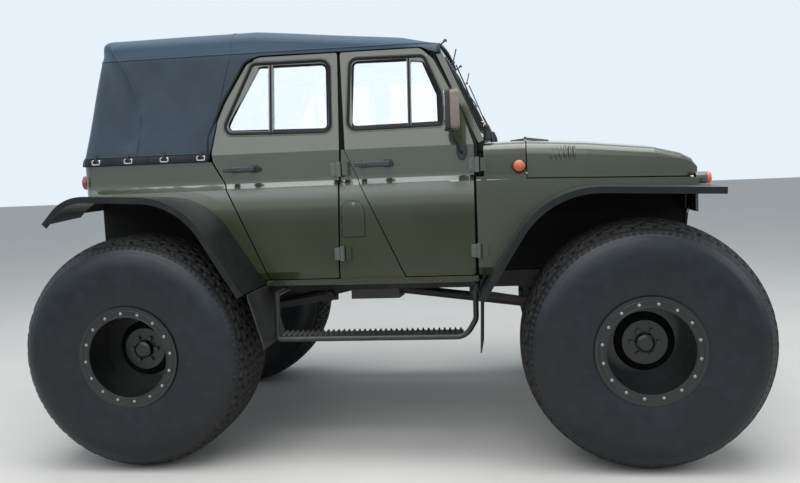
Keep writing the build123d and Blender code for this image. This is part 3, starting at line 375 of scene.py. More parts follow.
# Forms: a form is an array of points and a list of face tables, in metres
def grid(points, round_u=False, round_v=False, cap_low=False, cap_high=False, flip=False):
    """Form of points P(u, v). Each face joins P(u, v), P(u+1, v), P(u+1, v+1) and P(u, v+1)."""
    rows, columns = points.shape[:2]
    index = np.arange(rows * columns).reshape(rows, columns)
    first, last = index[0], index[-1]
    if round_u:
        index = np.vstack((index, index[:1]))
    if round_v:
        index = np.hstack((index, index[:, :1]))
    corners = (index[:-1, :-1], index[1:, :-1], index[1:, 1:], index[:-1, 1:])
    faces = [np.stack(corners, -1).reshape(-1, 4)]
    if cap_low:
        faces.append(first[None, :])
    if cap_high:
        faces.append(last[None, ::-1])
    if flip:
        faces = [table[:, ::-1] for table in faces]
    return points.reshape(-1, 3), faces


def joined(*forms):
    """One form that holds several, each table of faces counted on from the points before it."""
    starts = np.cumsum([0] + [len(form[0]) for form in forms])
    faces = [table + start for form, start in zip(forms, starts) for table in form[1]]
    return np.concatenate([form[0] for form in forms]), faces


def placed(form, matrix):
    """The form with every point p moved to M p."""
    points, faces = form
    return points @ matrix[:3, :3].T + matrix[:3, 3], faces


def repeated(form, matrices):
    """A copy of the form for each matrix in a stack of them."""
    points, faces = form
    matrices = np.asarray(matrices)
    moved = np.einsum("kij,nj->kni", matrices[:, :3, :3], points) + matrices[:, None, :3, 3]
    steps = np.arange(len(matrices))[:, None, None] * len(points)
    return moved.reshape(-1, 3), [(table[None] + steps).reshape(-1, table.shape[1]) for table in faces]


def mirrored(form):
    """The form's image across the middle plane, y to -y, with its faces turned back outwards."""
    points, faces = form
    return points * (1, -1, 1), [table[:, ::-1] for table in faces]


def both(form):
    """The form and its image across the middle plane."""
    return joined(form, mirrored(form))


def aimed(place, axis):
    """Matrix that lays a form's own Z along an axis at a place."""
    turn = Vector(axis).to_track_quat("Z", "Y").to_matrix().to_4x4()
    return np.array(Matrix.Translation(place) @ turn)


def standing(form, place, axis=(0, 0, 1)):
    """The form with its own Z along an axis at a place."""
    return placed(form, aimed(place, axis))


def shift(x, y, z):
    """Matrix that moves a form by (x, y, z)."""
    return np.array(Matrix.Translation((x, y, z)))


def unit(vectors):
    """The vectors along the last axis, each at length 1."""
    return vectors / np.maximum(np.linalg.norm(vectors, axis=-1, keepdims=True), 1e-9)


def circle(steps):
    """Cosine and sine of evenly spaced angles, once round."""
    angle = np.arange(steps) * TURN / steps
    return np.stack((np.cos(angle), np.sin(angle)), -1)


def stacked(outlines, heights):
    """Form through closed outlines of points (u, v), each at its height, with its ends closed."""
    height = np.broadcast_to(np.array(heights, float)[:, None, None], outlines.shape[:2] + (1,))
    return grid(np.concatenate((outlines, height), -1), round_v=True, cap_low=True, cap_high=True, flip=True)


def turned(profile, steps=32):
    """Solid of revolution about Z: P(k, a) = (r cos a, r sin a, h) for the profile's rows (h, r)."""
    rows = np.array(profile, float)
    return stacked(rows[:, 1, None, None] * circle(steps), rows[:, 0])


def rounded(corners, steps=6, closed=True):
    """Points along straight runs and arcs. A corner is (u, v, radius): its arc starts and ends
    radius * tan(half turn) from the corner and has its centre on the inner side."""
    table = [tuple(corner) + (0,) * (3 - len(corner)) for corner in corners]
    found = []
    count = len(table)
    for index, (u, v, radius) in enumerate(table):
        here = np.array((u, v))
        ends = not closed and index in (0, count - 1)
        if ends or not radius:
            found.append(here[None])
            continue
        back = np.array(table[index - 1][:2]) - here
        ahead = np.array(table[(index + 1) % count][:2]) - here
        back = back / np.hypot(*back)
        ahead = ahead / np.hypot(*ahead)
        half = math.acos(np.clip(back @ ahead, -1, 1)) / 2
        centre = here + (back + ahead) / np.hypot(*(back + ahead)) * radius / math.sin(half)
        start = here + back * radius / math.tan(half) - centre
        stop = here + ahead * radius / math.tan(half) - centre
        share = np.linspace(0, 1, steps + 1)[:, None]
        sweep = math.pi - 2 * half
        arc = (np.sin((1 - share) * sweep) * start + np.sin(share * sweep) * stop) / math.sin(sweep)
        found.append(centre + arc)
    return np.concatenate(found)


def outline(corners, steps):
    """Closed rounded outline that runs anticlockwise, by the sign of the area inside it."""
    path = rounded(corners, steps)
    after = np.roll(path, -1, 0)
    return path if np.sum(path[:, 0] * after[:, 1] - path[:, 1] * after[:, 0]) > 0 else path[::-1]


def box(low_u, low_v, high_u, high_v, radius=0.0):
    """Corners of a rectangle with rounded corners."""
    corners = ((low_u, low_v), (high_u, low_v), (high_u, high_v), (low_u, high_v))
    return [(*corner, radius) for corner in corners]


def sideways(path, across, closed):
    """Direction square to the path and to across at each point, stretched at corners, up to 2.5 times,
    so that a strip keeps its width."""
    after = np.roll(path, -1, 0) - path
    before = np.roll(after, 1, 0)
    if not closed:
        before[0], after[-1] = after[0], before[-1]
    before = unit(before)
    side = unit(np.cross(before + unit(after), across))
    reach = np.sum(side * np.cross(before, across), axis=1, keepdims=True)
    return side / np.clip(reach, 0.4, 1)


def slab(corners, low, high, edge=0.002, steps=5):
    """Plate with soft edges and flat faces: its outline, moved inwards by e at height h, for rows (e, h)."""
    path = outline(corners, steps)
    side = sideways(np.column_stack((path, np.zeros(len(path)))), (0, 0, 1.0), True)[:, :2]
    bend = edge * (1 - math.sqrt(0.5))
    rows = [(edge * 1.4, low), (edge, low), (bend, low + bend), (0, low + edge)]
    rows += [(0, high - edge), (bend, high - bend), (edge, high), (edge * 1.4, high)]
    return stacked(np.stack([path - side * inset for inset, _ in rows]), [height for _, height in rows])


def tube(path, radius, across, steps=10, closed=False, flat=1.0):
    """Round bar: P(s, a) = path(s) + r (cos a * side(s) + flat * sin a * across), side square to both."""
    path = np.asarray(path, float)
    across = unit(np.array(across, float))
    ahead = np.roll(path, -1, 0) - np.roll(path, 1, 0) if closed else np.gradient(path, axis=0)
    side = unit(np.cross(ahead, across))
    size = np.broadcast_to(np.asarray(radius, float), (len(path),))[:, None, None]
    wide, high = circle(steps).T[..., None]
    points = path[:, None] + size * (wide * side[:, None] + flat * high * across)
    return grid(points, closed, True, not closed, not closed)


def ring(middle, axis, radius, thick, steps=64):
    """Ring: a bar of radius thick along the circle m + r (cos a * u + sin a * v) square to the axis."""
    turn = aimed(middle, axis)
    return tube(radius * circle(steps) @ turn[:3, :2].T + turn[:3, 3], thick, turn[:3, 2], 8, True)


def rounded_bar(corners, share=0.25, steps=6):
    """Path through straight runs whose corners p are cut at a share of each run and bent over them:
    (1 - t)^2 a + 2 t (1 - t) p + t^2 b."""
    corners = np.array(corners, float)
    t = np.linspace(0, 1, steps)[:, None]
    found = [corners[:1]]
    for before, here, after in zip(corners[:-2], corners[1:-1], corners[2:]):
        start, stop = here + (before - here) * share, here + (after - here) * share
        found.append((1 - t) ** 2 * start + 2 * t * (1 - t) * here + t**2 * stop)
    return np.concatenate(found + [corners[-1:]])


CUSHION_STEPS = 48


def cushion(low, high):
    """Rounded cushion in a box: P(u, v) = (c(v) c(u), c(v) s(u), s(v)), with c and s the cosine and sine
    raised to a small power that keeps their sign, square around the outline and soft over its edges."""
    square, soft = 0.28, 0.5
    v = np.sin(np.linspace(-math.pi / 2 + 0.06, math.pi / 2 - 0.06, 17))
    wide = np.sign(circle(CUSHION_STEPS)) * np.abs(circle(CUSHION_STEPS)) ** square
    reach = (1 - np.abs(v) ** (2 / soft)) ** (soft / 2)
    points, faces = stacked(reach[:, None, None] * wide, np.sign(v) * np.abs(v) ** soft)
    low, high = np.array(low), np.array(high)
    return points * (high - low) / 2 + (high + low) / 2, faces


def moulding(path, across, profile, closed=True):
    """Strip: P(s, t) = path(s) + w(t) side(s) + h(t) across(s) for the profile's rows (w, h)."""
    path = np.asarray(path, float)
    across = unit(np.broadcast_to(np.asarray(across, float), path.shape))
    side = sideways(path, across, closed)
    rows = np.array(profile, float)
    points = path[:, None] + rows[:, :1] * side[:, None] + rows[:, 1:] * across[:, None]
    return grid(points, closed, True, not closed, not closed)


def dome(place, axis, radius, height, foot=0.0):
    """Round lens: a foot, then h = height * sin a and r = radius * cos a up to the top."""
    angle = np.linspace(0, 1.45, 7)
    rows = np.stack((foot + height * np.sin(angle), radius * np.cos(angle)), -1)
    if foot:
        rows = np.vstack(((0, radius), rows))
    return standing(turned(rows, 28), place, axis)


def piece(name, form, body, finish, crease=38, weld=False):
    """Puts a form into a mesh object that rides on a body, smooth except over creases."""
    points, faces = form
    mesh = bpy.data.meshes.new(name)
    mesh.from_pydata(points.tolist(), [], [face for table in faces for face in table.tolist()])
    if weld:
        merged = bmesh.new()
        merged.from_mesh(mesh)
        bmesh.ops.remove_doubles(merged, verts=merged.verts, dist=0.0002)
        merged.to_mesh(mesh)
        merged.free()
    mesh.shade_smooth()
    mesh.set_sharp_from_angle(angle=math.radians(crease))
    mesh.materials.append(finish)
    made = bpy.data.objects.new(name, mesh)
    scene.collection.objects.link(made)
    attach(made, body)
    return made


def twice(name, form, finish, body="chassis", crease=38):
    """One piece that holds a form of the right-hand side and its mirror image."""
    return piece(name, both(form), body, finish, crease)


def pair(name, form, body, finish):
    """The right-hand piece and its mirror image, each on the body of its own side."""
    piece(f"{name}_right", form, f"{body}_right", finish)
    piece(f"{name}_left", mirrored(form), f"{body}_left", finish)


# Frames for flat pieces on the right side, the nose and the tail: their own X, Y and Z are along or
# across the vehicle, up, and outwards
SIDE = np.array([[1, 0, 0, 0], [0, 0, -1, 0], [0, 1, 0, 0], [0, 0, 0, 1.0]])
NOSE = np.array([[0, 0, 1, 0], [1, 0, 0, 0], [0, 1, 0, 0], [0, 0, 0, 1.0]])
TAIL = np.array([[0, 0, -1, 0], [-1, 0, 0, 0], [0, 1, 0, 0], [0, 0, 0, 1.0]])

# Body side: height and distance from the middle plane of the outer skin, from the sill upwards
BELT_Z = 1.741
SKIN = np.array([(1.018, 0.850), (1.060, 0.866), (1.540, 0.866), (1.572, 0.826), (BELT_Z, 0.820),
                 (2.292, 0.724)])
UPPER_OUT = (0, -1, 0.174)


def on_skin(flat, lift=0.0):
    """Points (x, z) of the right side put on the body's skin, y = -(skin(z) + lift)."""
    flat = np.asarray(flat, float)
    reach = np.interp(flat[:, 1], SKIN[:, 0], SKIN[:, 1]) + lift
    return np.stack((flat[:, 0], -reach, flat[:, 1]), -1)


# Tyres: the section's half width, the radii of its widest place and of its crown; blocks in rows
AXLE_X, WHEEL_Y, HUB_Z = 1.393, 0.924, 0.655
WHEELS = [
    ("front_left", AXLE_X, 1, 1.8072),
    ("front_right", AXLE_X, -1, 1.8072),
    ("rear_left", -AXLE_X, 1, 1.6606),
    ("rear_right", -AXLE_X, -1, 1.6606),
]
HALF_WIDTH, WALL_RADIUS, CROWN_RADIUS = 0.297, 0.440, 0.655
LUGS = 36
ROW_PITCH = 0.036
ROW_KNOTS = (-0.0180, -0.0150, -0.0125, -0.0060, 0.0, 0.0060, 0.0125, 0.0150)
TYRE_STEPS = LUGS * 15
GROOVE_DEEP, SLIT_DEEP, STITCH_DEEP, RIB_DEEP = 0.011, 0.006, 0.0035, 0.0015
SLIT_LONG, SLIT_WIDE = 0.030, 0.0046


def soft_step(value, low, high):
    """0 below low, 1 above high, and 3t^2 - 2t^3 between."""
    share = np.clip((value - low) / (high - low), 0, 1)
    return share * share * (3 - 2 * share)


def band(value, low, full, fade, high):
    """0 below low and above high, 1 from full to fade, and smooth between."""
    return soft_step(value, low, full) * (1 - soft_step(value, fade, high))


def ridge(value, width):
    """Bell curve: e to the power -(value / width)^2."""
    return np.exp(-((value / width) ** 2))


def tyre():
    """Balloon tyre about its own Y axis. Its section is y = 297 |cos t|^(2/n), r = 440 + b |sin t|^(2/n)
    in mm; grooves go in along the section's normal between rows of staggered long blocks."""
    fine = np.linspace(-0.2, math.pi / 2, 4000)
    curve = np.where(fine > 0, 2 / 3.4, 2 / 3.2)
    across = HALF_WIDTH * np.abs(np.cos(fine)) ** (2 / 3.4)
    rise = np.where(fine > 0, CROWN_RADIUS - WALL_RADIUS, 0.5)
    height = WALL_RADIUS + rise * np.sign(fine) * np.abs(np.sin(fine)) ** curve
    bead = np.array([(0.276, 0.2622), (0.289, 0.320), (0.2955, 0.380)])
    above = height > 0.425
    section = np.vstack((bead, np.stack((across[above], height[above]), -1)))
    length = np.append(0, np.cumsum(np.hypot(*np.diff(section, axis=0).T)))
    from_crown = length[-1] - length
    rows = (np.arange(7)[:, None] * ROW_PITCH + np.array(ROW_KNOTS)).ravel()
    rows = rows[(rows >= 0) & (rows < 0.235)]
    shoulder = np.append(np.arange(0.238, 0.293, 0.006), (0.300, 0.312))
    half = np.concatenate((rows, shoulder, np.linspace(0.330, from_crown[0], 12)))
    at = np.append(-half[:0:-1], half)
    y = np.interp(np.abs(at), from_crown[::-1], section[::-1, 0]) * np.sign(at)
    r = np.interp(np.abs(at), from_crown[::-1], section[::-1, 1])
    normal = unit(np.stack((-np.gradient(r, at), np.gradient(y, at)), -1))

    turn, place = np.meshgrid(np.arange(TYRE_STEPS) * TURN / TYRE_STEPS, at, indexing="ij")
    off = np.abs(place)
    lane = np.round(place / ROW_PITCH)
    sway = 0.004 * np.sin(turn * LUGS * 2 + lane * math.pi)
    in_lane = np.abs(place + sway - lane * ROW_PITCH)
    along = (turn * LUGS / TURN + 0.5 * (lane % 2) + 0.31 * off / 0.2) % 1.0 - 0.5
    along = np.abs(along) * TURN * 0.64 / LUGS
    block = 1 - np.maximum(soft_step(in_lane, 0.0118, 0.0152), soft_step(along, 0.0440, 0.0485))
    slit_half = SLIT_WIDE * (1 - (along / SLIT_LONG) ** 2)
    slit = (1 - soft_step(in_lane, slit_half - 0.0016, slit_half + 0.0016)) * (along < SLIT_LONG)
    treaded = 1 - soft_step(off, 0.232, 0.236)
    edge = band(off, 0.234, 0.240, 0.272, 0.282)
    tick = np.abs((turn * LUGS * 3 / TURN) % 1.0 - 0.5)
    stitch = edge * (1 - soft_step(tick, 0.20, 0.30)) * (off > 0.252)
    depth = treaded * (GROOVE_DEEP * (1 - block) + SLIT_DEEP * slit * block)
    depth = depth + edge * STITCH_DEEP * (1 - stitch) + RIB_DEEP * ridge(off - 0.300, 0.005)
    y_at = y - depth * normal[:, 0]
    r_at = r - depth * normal[:, 1]
    points = np.stack((r_at * np.cos(turn), y_at, r_at * np.sin(turn)), -1)
    # Mask of the grooves, slits and stitch cuts, where the tyre finish paints shade
    groove_shade = np.clip(treaded * (1 - block + slit) + edge * (1 - stitch) * 0.7, 0, 1)
    top = np.clip(treaded + edge * stitch * 0.8 + edge * 0.5, 0, 1)
    return grid(points, round_u=True, flip=True), groove_shade.ravel(), top.ravel()


tyre_form, tyre_groove_shade, tyre_top = tyre()
for name, wheel_x, out, _ in WHEELS:
    form = tyre_form if out > 0 else mirrored(tyre_form)
    middle = np.array((wheel_x, out * WHEEL_Y, HUB_Z))
    made = piece(f"tread_{name}", (form[0] + middle, form[1]), f"wheel_{name}", rubber, 60)
    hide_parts(f"tyre_{name}")
    for key, values in (("groove_shade", tyre_groove_shade), ("block_top", tyre_top)):
        kept = made.data.attributes.new(key, "FLOAT", "POINT")
        kept.data.foreach_set("value", values.astype(np.float32))

# Bead rings: 16 bolts and two raised edges on each wheel
BOLT_CIRCLE, RING_FACE = 0.245, 0.290
bolt_head = joined(
    turned([(0, 0.0085), (0.002, 0.0085), (0.0025, 0.0075)], 12),
    turned([(0.0022, 0.0062), (0.0062, 0.0062), (0.0076, 0.0048), (0.0080, 0.0015)], 6),
)
for name, wheel_x, out, first in WHEELS:
    face = out * (WHEEL_Y + RING_FACE)
    angles = first + np.arange(16) * TURN / 16
    spots = [
        aimed((wheel_x + BOLT_CIRCLE * math.cos(a), face, HUB_Z + BOLT_CIRCLE * math.sin(a)), (0, out, 0))
        for a in angles
    ]
    piece(f"ring_bolts_{name}", repeated(bolt_head, spots), f"wheel_{name}", bolt_metal)
    middle = (wheel_x, face - out * 0.0005, HUB_Z)
    edges = joined(*[ring(middle, (0, 1, 0), radius, 0.0035) for radius in (0.2595, 0.2290)])
    piece(f"ring_edges_{name}", edges, f"wheel_{name}", trim_black)

# Soft top: height of the roof's shoulder and of its crown along X
TOP_FRONT_X = 0.335
ROOF = np.array([(-1.900, 2.440, 2.462), (-0.723, 2.446, 2.470), (0.118, 2.364, 2.392),
                 (TOP_FRONT_X, 2.318, 2.342)])
TOP_FOOT_Z = 1.690
TOP_FOOT_Y, TOP_HEAD_Y = 0.838, 0.724
TOP_IN, TOP_UP = 0.088, 0.070
TOP_CORNER = 0.095
TAIL_FOOT_X, TAIL_LEAN = -1.800, 0.18
CORNER_X = TAIL_FOOT_X + TOP_CORNER
ROOF_HALF = 0.636
SIDE_COLUMNS, CORNER_COLUMNS, TAIL_COLUMNS = 96, 14, 24
WALL_ROWS, ARC_ROWS, ROOF_ROWS = 34, 12, 24
# Rows over which the height grows in every column
RISING_ROWS = 58
# Rear window: half its width, that edge's place between corner and middle, rows of the wall it leaves out
PANE_HALF, PANE_SHARE, PANE_ROWS = 0.33, 0.47, (8, 25)
# Lower edge of the canvas: its height at points of the right-hand side, from the front to the rear door
EDGE_X = np.array([0.335, 0.300, 0.235, -0.500, -0.700, -0.782, -0.914, -1.003, -1.000])
EDGE_Z = np.array([2.262, 2.268, 2.2975, 2.2975, 2.298, 2.268, 2.045, 1.842, 1.705])

# Arched seam on the side, from the hem up to the rear top corner: height and X
ARCH_Z = np.array([1.760, 1.792, 1.861, 1.954, 2.053, 2.142, 2.227, 2.312, 2.386])
ARCH_X = np.array([-1.437, -1.434, -1.422, -1.416, -1.428, -1.453, -1.491, -1.541, -1.591])


def roof_height(x, y):
    """Height of the roof: the shoulder's, plus the crown's rise times 1 - (y / 636 mm)^2."""
    shoulder = np.interp(x, ROOF[:, 0], ROOF[:, 1])
    crown = np.interp(x, ROOF[:, 0], ROOF[:, 2])
    return shoulder + (crown - shoulder) * (1 - np.clip(np.abs(y) / ROOF_HALF, 0, 1) ** 2)


def foot_line():
    """X and height of each column's foot: evenly along the lower edge and on to the rear corner, and
    there for the columns of the corner and the tail."""
    length = np.append(0, np.cumsum(np.hypot(np.diff(EDGE_X), np.diff(EDGE_Z))))
    along = np.linspace(0, 1, SIDE_COLUMNS) * (length[-1] + EDGE_X[-1] - CORNER_X)
    foot_x = np.interp(along, length, EDGE_X) - np.maximum(along - length[-1], 0)
    rest = np.ones(CORNER_COLUMNS + TAIL_COLUMNS)
    return np.append(foot_x, rest * CORNER_X), np.append(np.interp(along, length, EDGE_Z), rest * EDGE_Z[-1])


def cloth_relief(points):
    """How far the cloth stands out: it sags between the bows, is pulled in on the side panels, folds
    over the hem, and has slack, one crease and the ridge of the arched seam."""
    x, y, z = points[..., 0], np.abs(points[..., 1]), points[..., 2]
    roofed = soft_step(z, 2.33, 2.42)
    between_bows = np.sin((x + 0.70) / 0.86 * math.pi) ** 2
    sag = -0.009 * roofed * between_bows * soft_step(0.62 - y, 0.0, 0.25)
    pull = -0.007 * band(z, 1.72, 1.90, 2.20, 2.36) * band(-x, 0.95, 1.15, 1.40, 1.60)
    near_hem = np.exp(-np.clip(z - EDGE_Z[-1], 0, None) / 0.060) * (z < 1.95)
    folds = near_hem * (0.0042 * np.sin(x * 46 + 2.2 * np.sin(x * 9)) + 0.002 * np.sin(y * 58))
    slack = 0.0018 * np.sin(x * 7.1 + z * 5.3) * np.sin(z * 9.7 - x * 3.1 + y * 4) * (1 - roofed * 0.5)
    crease = -0.0022 * ridge(x + 1.05 + (z - 1.75) * 0.55, 0.03) * (z < 2.25) * (z > 1.78)
    beyond = x - np.interp(z, ARCH_Z, ARCH_X)
    seamed = band(z, 1.76, 1.86, 2.36, 2.42) * (y > 0.66)
    arch = seamed * (0.008 * ridge(beyond, 0.013) - 0.014 * ridge(beyond + 0.05, 0.05))
    return sag + pull + folds + slack + crease + arch


def soft_top():
    """Canvas as one curved sheet. Its columns go round the right side, the rear corner and the tail,
    then the left side. Each rises up the leaning wall, turns in over the shoulder by
    (88 (1 - cos^p a), 70 sin^p a) mm, p from 1 at the sides to 1/2 at the tail, and runs in to the
    middle line of the roof. The relief of the cloth moves it along its normals."""
    corner = np.linspace(0, 1, CORNER_COLUMNS + 2)[1:-1]
    half = TAIL_COLUMNS // 2
    across = np.append(np.linspace(1, PANE_SHARE, half + 1)[:-1], np.linspace(PANE_SHARE, 0, half))
    width = np.append(np.ones(SIDE_COLUMNS + CORNER_COLUMNS), across)
    bend = np.concatenate((np.zeros(SIDE_COLUMNS), corner, np.ones(TAIL_COLUMNS))) * math.pi / 2
    on_side = np.arange(len(width)) < SIDE_COLUMNS
    foot_x, foot_z = foot_line()
    head_x = np.interp(foot_x, [CORNER_X, -1.003, -0.70, TOP_FRONT_X],
                       [CORNER_X + (2.37 - TOP_FOOT_Z) * TAIL_LEAN, -0.86, -0.70, TOP_FRONT_X])

    # Level of each point: up to 1 on the wall, to 2 over the shoulder, to 3 at the middle line
    wall_top = roof_height(head_x, ROOF_HALF * width) - TOP_UP
    low = np.where(foot_z <= wall_top, (foot_z - TOP_FOOT_Z) / (wall_top - TOP_FOOT_Z),
                   1 + np.arcsin(np.clip((foot_z - wall_top) / TOP_UP, 0, 0.97)) * 2 / math.pi)
    middle = np.maximum(1, low + 0.06)
    stops = [np.linspace(0, 1, n + 1)[:, None] for n in (WALL_ROWS, ARC_ROWS, ROOF_ROWS)]
    level = np.vstack((
        low + (middle - low) * stops[0][:-1],
        middle + (2 - middle) * stops[1][:-1],
        2 + stops[2] * np.ones(len(width)),
    ))
    wall = np.clip(level, None, 1)
    arc = np.clip(level - 1, 0, 1) * math.pi / 2
    roof = np.clip(level - 2, 0, 1)

    climbed = (wall_top - TOP_FOOT_Z) * wall
    begun = np.minimum(low, 1)
    lean = (head_x - foot_x) * np.clip((wall - begun) / np.maximum(1 - begun, 0.02), 0, 1)
    lean = np.where(on_side, lean, climbed * TAIL_LEAN)
    power = 1 - bend / math.pi
    radius = TOP_CORNER - TOP_IN * (1 - np.abs(np.cos(arc)) ** power)
    x = foot_x + lean - radius * np.sin(bend)
    reach = TOP_FOOT_Y - (TOP_FOOT_Y - TOP_HEAD_Y) * wall
    flank = PANE_HALF + (width - PANE_SHARE) / (1 - PANE_SHARE) * (reach - TOP_CORNER - PANE_HALF)
    y = np.where(width < PANE_SHARE, width / PANE_SHARE * PANE_HALF, flank) + radius * np.cos(bend)
    z = TOP_FOOT_Z + climbed + TOP_UP * np.sin(arc) ** power
    spine_x = np.interp(head_x - 0.25 * (1 - width) - bend * 0.05,
                        [CORNER_X - 0.30, TOP_FRONT_X], [-1.30, TOP_FRONT_X])
    x = x + (spine_x - x) * roof
    y = y * (1 - roof)
    z = np.where(level > 2, roof_height(x, y), z)

    points = np.stack((x, -y, z), -1)
    points = np.concatenate((points, points[:, -2::-1] * (1, -1, 1)), 1)
    normal = unit(np.cross(np.gradient(points, axis=0), np.gradient(points, axis=1)))
    return points + normal * cloth_relief(points)[..., None], normal


def without_pane(form, points):
    """The sheet's form without the faces inside the rear window."""
    flat, (table,) = form
    first, last = PANE_ROWS
    rows, columns = points.shape[:2]
    row, column = np.divmod(np.arange((rows - 1) * (columns - 1)), columns - 1)
    tail = np.abs(points[0, :, 1]) < PANE_HALF + 0.001
    inside = (row >= first) & (row < last) & tail[column] & tail[column + 1]
    return flat, [table[~inside]]


def line_at(height, lift):
    """Points of the canvas at one height from column to column, moved out along its normals."""
    found = []
    for column in range(top_points.shape[1]):
        z = top_points[:, column, 2]
        if z[0] > height:
            continue
        share = [np.interp(height, z[:RISING_ROWS], top_points[:RISING_ROWS, column, k]) for k in range(3)]
        turn = [np.interp(height, z[:RISING_ROWS], top_normals[:RISING_ROWS, column, k]) for k in range(3)]
        found.append(share + turn)
    table = np.array(found)
    keep = np.concatenate(([True], np.linalg.norm(np.diff(table[:, :3], axis=0), axis=1) > 0.004))
    table = table[keep]
    return table[:, :3] + table[:, 3:] * lift, table[:, 3:]


top_points, top_normals = soft_top()
top_form = without_pane(grid(top_points), top_points)
canvas_top = piece("canvas_top", top_form, "chassis", top_cloth, 60, weld=True)
lined = canvas_top.modifiers.new("thickness", "SOLIDIFY")
lined.thickness = 0.003
lined.offset = -1
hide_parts("soft_top")

HEM = [(0.021, -0.001), (0.021, 0.002), (0.014, 0.004), (-0.006, 0.005), (-0.020, 0.003), (-0.021, -0.001)]
hem_path, hem_out = line_at(1.727, 0.001)
hem_wave = 0.0016 * np.sin(np.arange(len(hem_path)) * 1.9) + 0.0012 * np.sin(np.arange(len(hem_path)) * 0.7)
hem = moulding(hem_path + hem_out * hem_wave[:, None], hem_out, HEM, False)
hem_piece = piece("canvas_hem", hem, "chassis", hem_cloth, 60)
WELT = [(0.004, -0.001), (0.004, 0.001), (0.0015, 0.0035), (-0.0015, 0.0035), (-0.004, 0.001),
        (-0.004, -0.001)]


def on_canvas(flat, lift):
    """Points (x, z) put on the right side of the canvas: the mean of its four nearest points and
    normals, weighted by 1 / distance^2, then moved out by lift."""
    near = top_points[..., 1] < -0.45
    side, turn = top_points[near], top_normals[near]
    flat = np.asarray(flat, float)
    away = np.linalg.norm(flat[:, None] - side[None][..., [0, 2]], axis=2)
    pick = np.argsort(away, axis=1)[:, :4]
    share = 1 / (np.take_along_axis(away, pick, 1) ** 2 + 1e-6)
    share = (share / share.sum(1, keepdims=True))[..., None]
    reach = (side[pick] * share).sum(1)[:, 1]
    facing = unit((turn[pick] * share).sum(1))
    return np.stack((flat[:, 0], reach, flat[:, 1]), -1) + facing * lift, facing


seam_z = np.linspace(1.760, 2.386, 60)
corner_seam = np.column_stack((np.interp(seam_z, ARCH_Z, ARCH_X), seam_z))
welts = [moulding(*line_at(z, 0.0005), WELT, False) for z in (1.754, 2.318)]
welts.append(both(moulding(*on_canvas(corner_seam, 0.001), WELT, False)))
seams = piece("canvas_seams", joined(*welts), "chassis", top_cloth, 60)

# Rolled edges of the canvas: beside the rear door, and across the front over the windscreen
foot = top_points[0]
beside_door = foot[(foot[:, 0] < -0.69) & (foot[:, 0] > -1.02) & (foot[:, 1] < 0) & (foot[:, 2] < 2.29)]
over_screen = np.concatenate((top_points[4:, 0], top_points[-2:3:-1, -1]))
edge_rolls = joined(both(tube(beside_door, 0.0075, (0, -1, 0.17), 8)), tube(over_screen, 0.006, (1, 0, 0), 8))
rolled = piece("canvas_rolled_edges", edge_rolls, "chassis", hem_cloth, 60)

# Straps and wire buckles along the hem, four a side
BUCKLES = (-1.682, -1.484, -1.264, -1.044)
wire_path = rounded([(0.014, 0.009), (0.0225, 0.0125, 0.005), (0.0225, -0.0125, 0.006),
                     (-0.0225, -0.0125, 0.006), (-0.0225, 0.0125, 0.005), (-0.014, 0.009)], 4, False)
wire_path = np.column_stack((wire_path[:, 0], np.zeros(len(wire_path)), wire_path[:, 1]))
buckle = tube(wire_path, 0.0046, (0, -1, 0), 6)
lace = np.array([(-0.012, -0.004, -0.006), (0.0, -0.007, 0.012), (0.010, -0.004, 0.034),
                 (0.013, -0.001, 0.046)])
laces = [tube(lace * (side, 1, 1), 0.0036, (0, -1, 0), 6) for side in (-1, 1)]
loop_knot = standing(turned([(-0.005, 0.003), (-0.004, 0.009), (0.003, 0.009), (0.005, 0.003)], 10),
                     (0, -0.004, 0.010), (0, -1, 0))
at_hem = [shift(x, -0.8405, 1.729) for x in BUCKLES]
buckles = twice("buckles", repeated(buckle, at_hem), bright_metal)
straps = twice("laces", repeated(joined(*laces, loop_knot), at_hem), trim_black)

# Rear window of clear sheet, bound with a strip of the canvas
TAIL_OUT = np.array((-1, 0, TAIL_LEAN)) / math.hypot(TAIL_LEAN, 1)


def on_tail(flat, lift):
    """Points (y, z) put on the leaning tail of the canvas, moved out by lift."""
    flat = np.asarray(flat, float)
    x = TAIL_FOOT_X + (flat[:, 1] - TOP_FOOT_Z) * TAIL_LEAN
    return np.stack((x, flat[:, 0], flat[:, 1]), -1) + TAIL_OUT * lift


PANE_CORNERS = [(0.330, 1.850, 0.03), (-0.330, 1.850, 0.03), (-0.330, 2.190, 0.03), (0.330, 2.190, 0.03)]
BINDING = [(0.016, -0.006), (0.016, 0.003), (0.010, 0.006), (-0.010, 0.006), (-0.016, 0.003),
           (-0.016, -0.006)]
binding = moulding(on_tail(rounded(PANE_CORNERS, 5), 0.0), TAIL_OUT, BINDING)
bound = piece("rear_window_binding", binding, "chassis", top_cloth, 60)
pane_y, pane_z = np.meshgrid(np.linspace(-0.345, 0.345, 33), np.linspace(1.835, 2.205, 19), indexing="ij")
ripple = -0.006 + 0.0022 * np.sin(pane_y * 19 + pane_z * 11) * np.sin(pane_z * 23)
pane_points = on_tail(np.stack((pane_y.ravel(), pane_z.ravel()), -1), 0.0) + TAIL_OUT * ripple.reshape(-1, 1)
pane_form = grid(pane_points.reshape(33, 19, 3), flip=True)
clear_sheet = piece("rear_window_sheet", pane_form, "chassis", window_glass, 60)


# Strips round openings
def round_opening(corners, profile, place):
    """Moulding along a closed outline. place turns its points (u, v) into points and outward directions."""
    points, across = place(outline(corners, 6))
    return moulding(points, across, profile)


def side_facing(height):
    """Outward direction of the right side at each height: level below the belt, tipped up above it."""
    return np.where(np.asarray(height)[:, None] > BELT_Z, UPPER_OUT, (0, -1, 0))


def at_skin(flat):
    """Points (x, z) on the right side's skin, and its outward directions."""
    return on_skin(flat), side_facing(flat[:, 1])


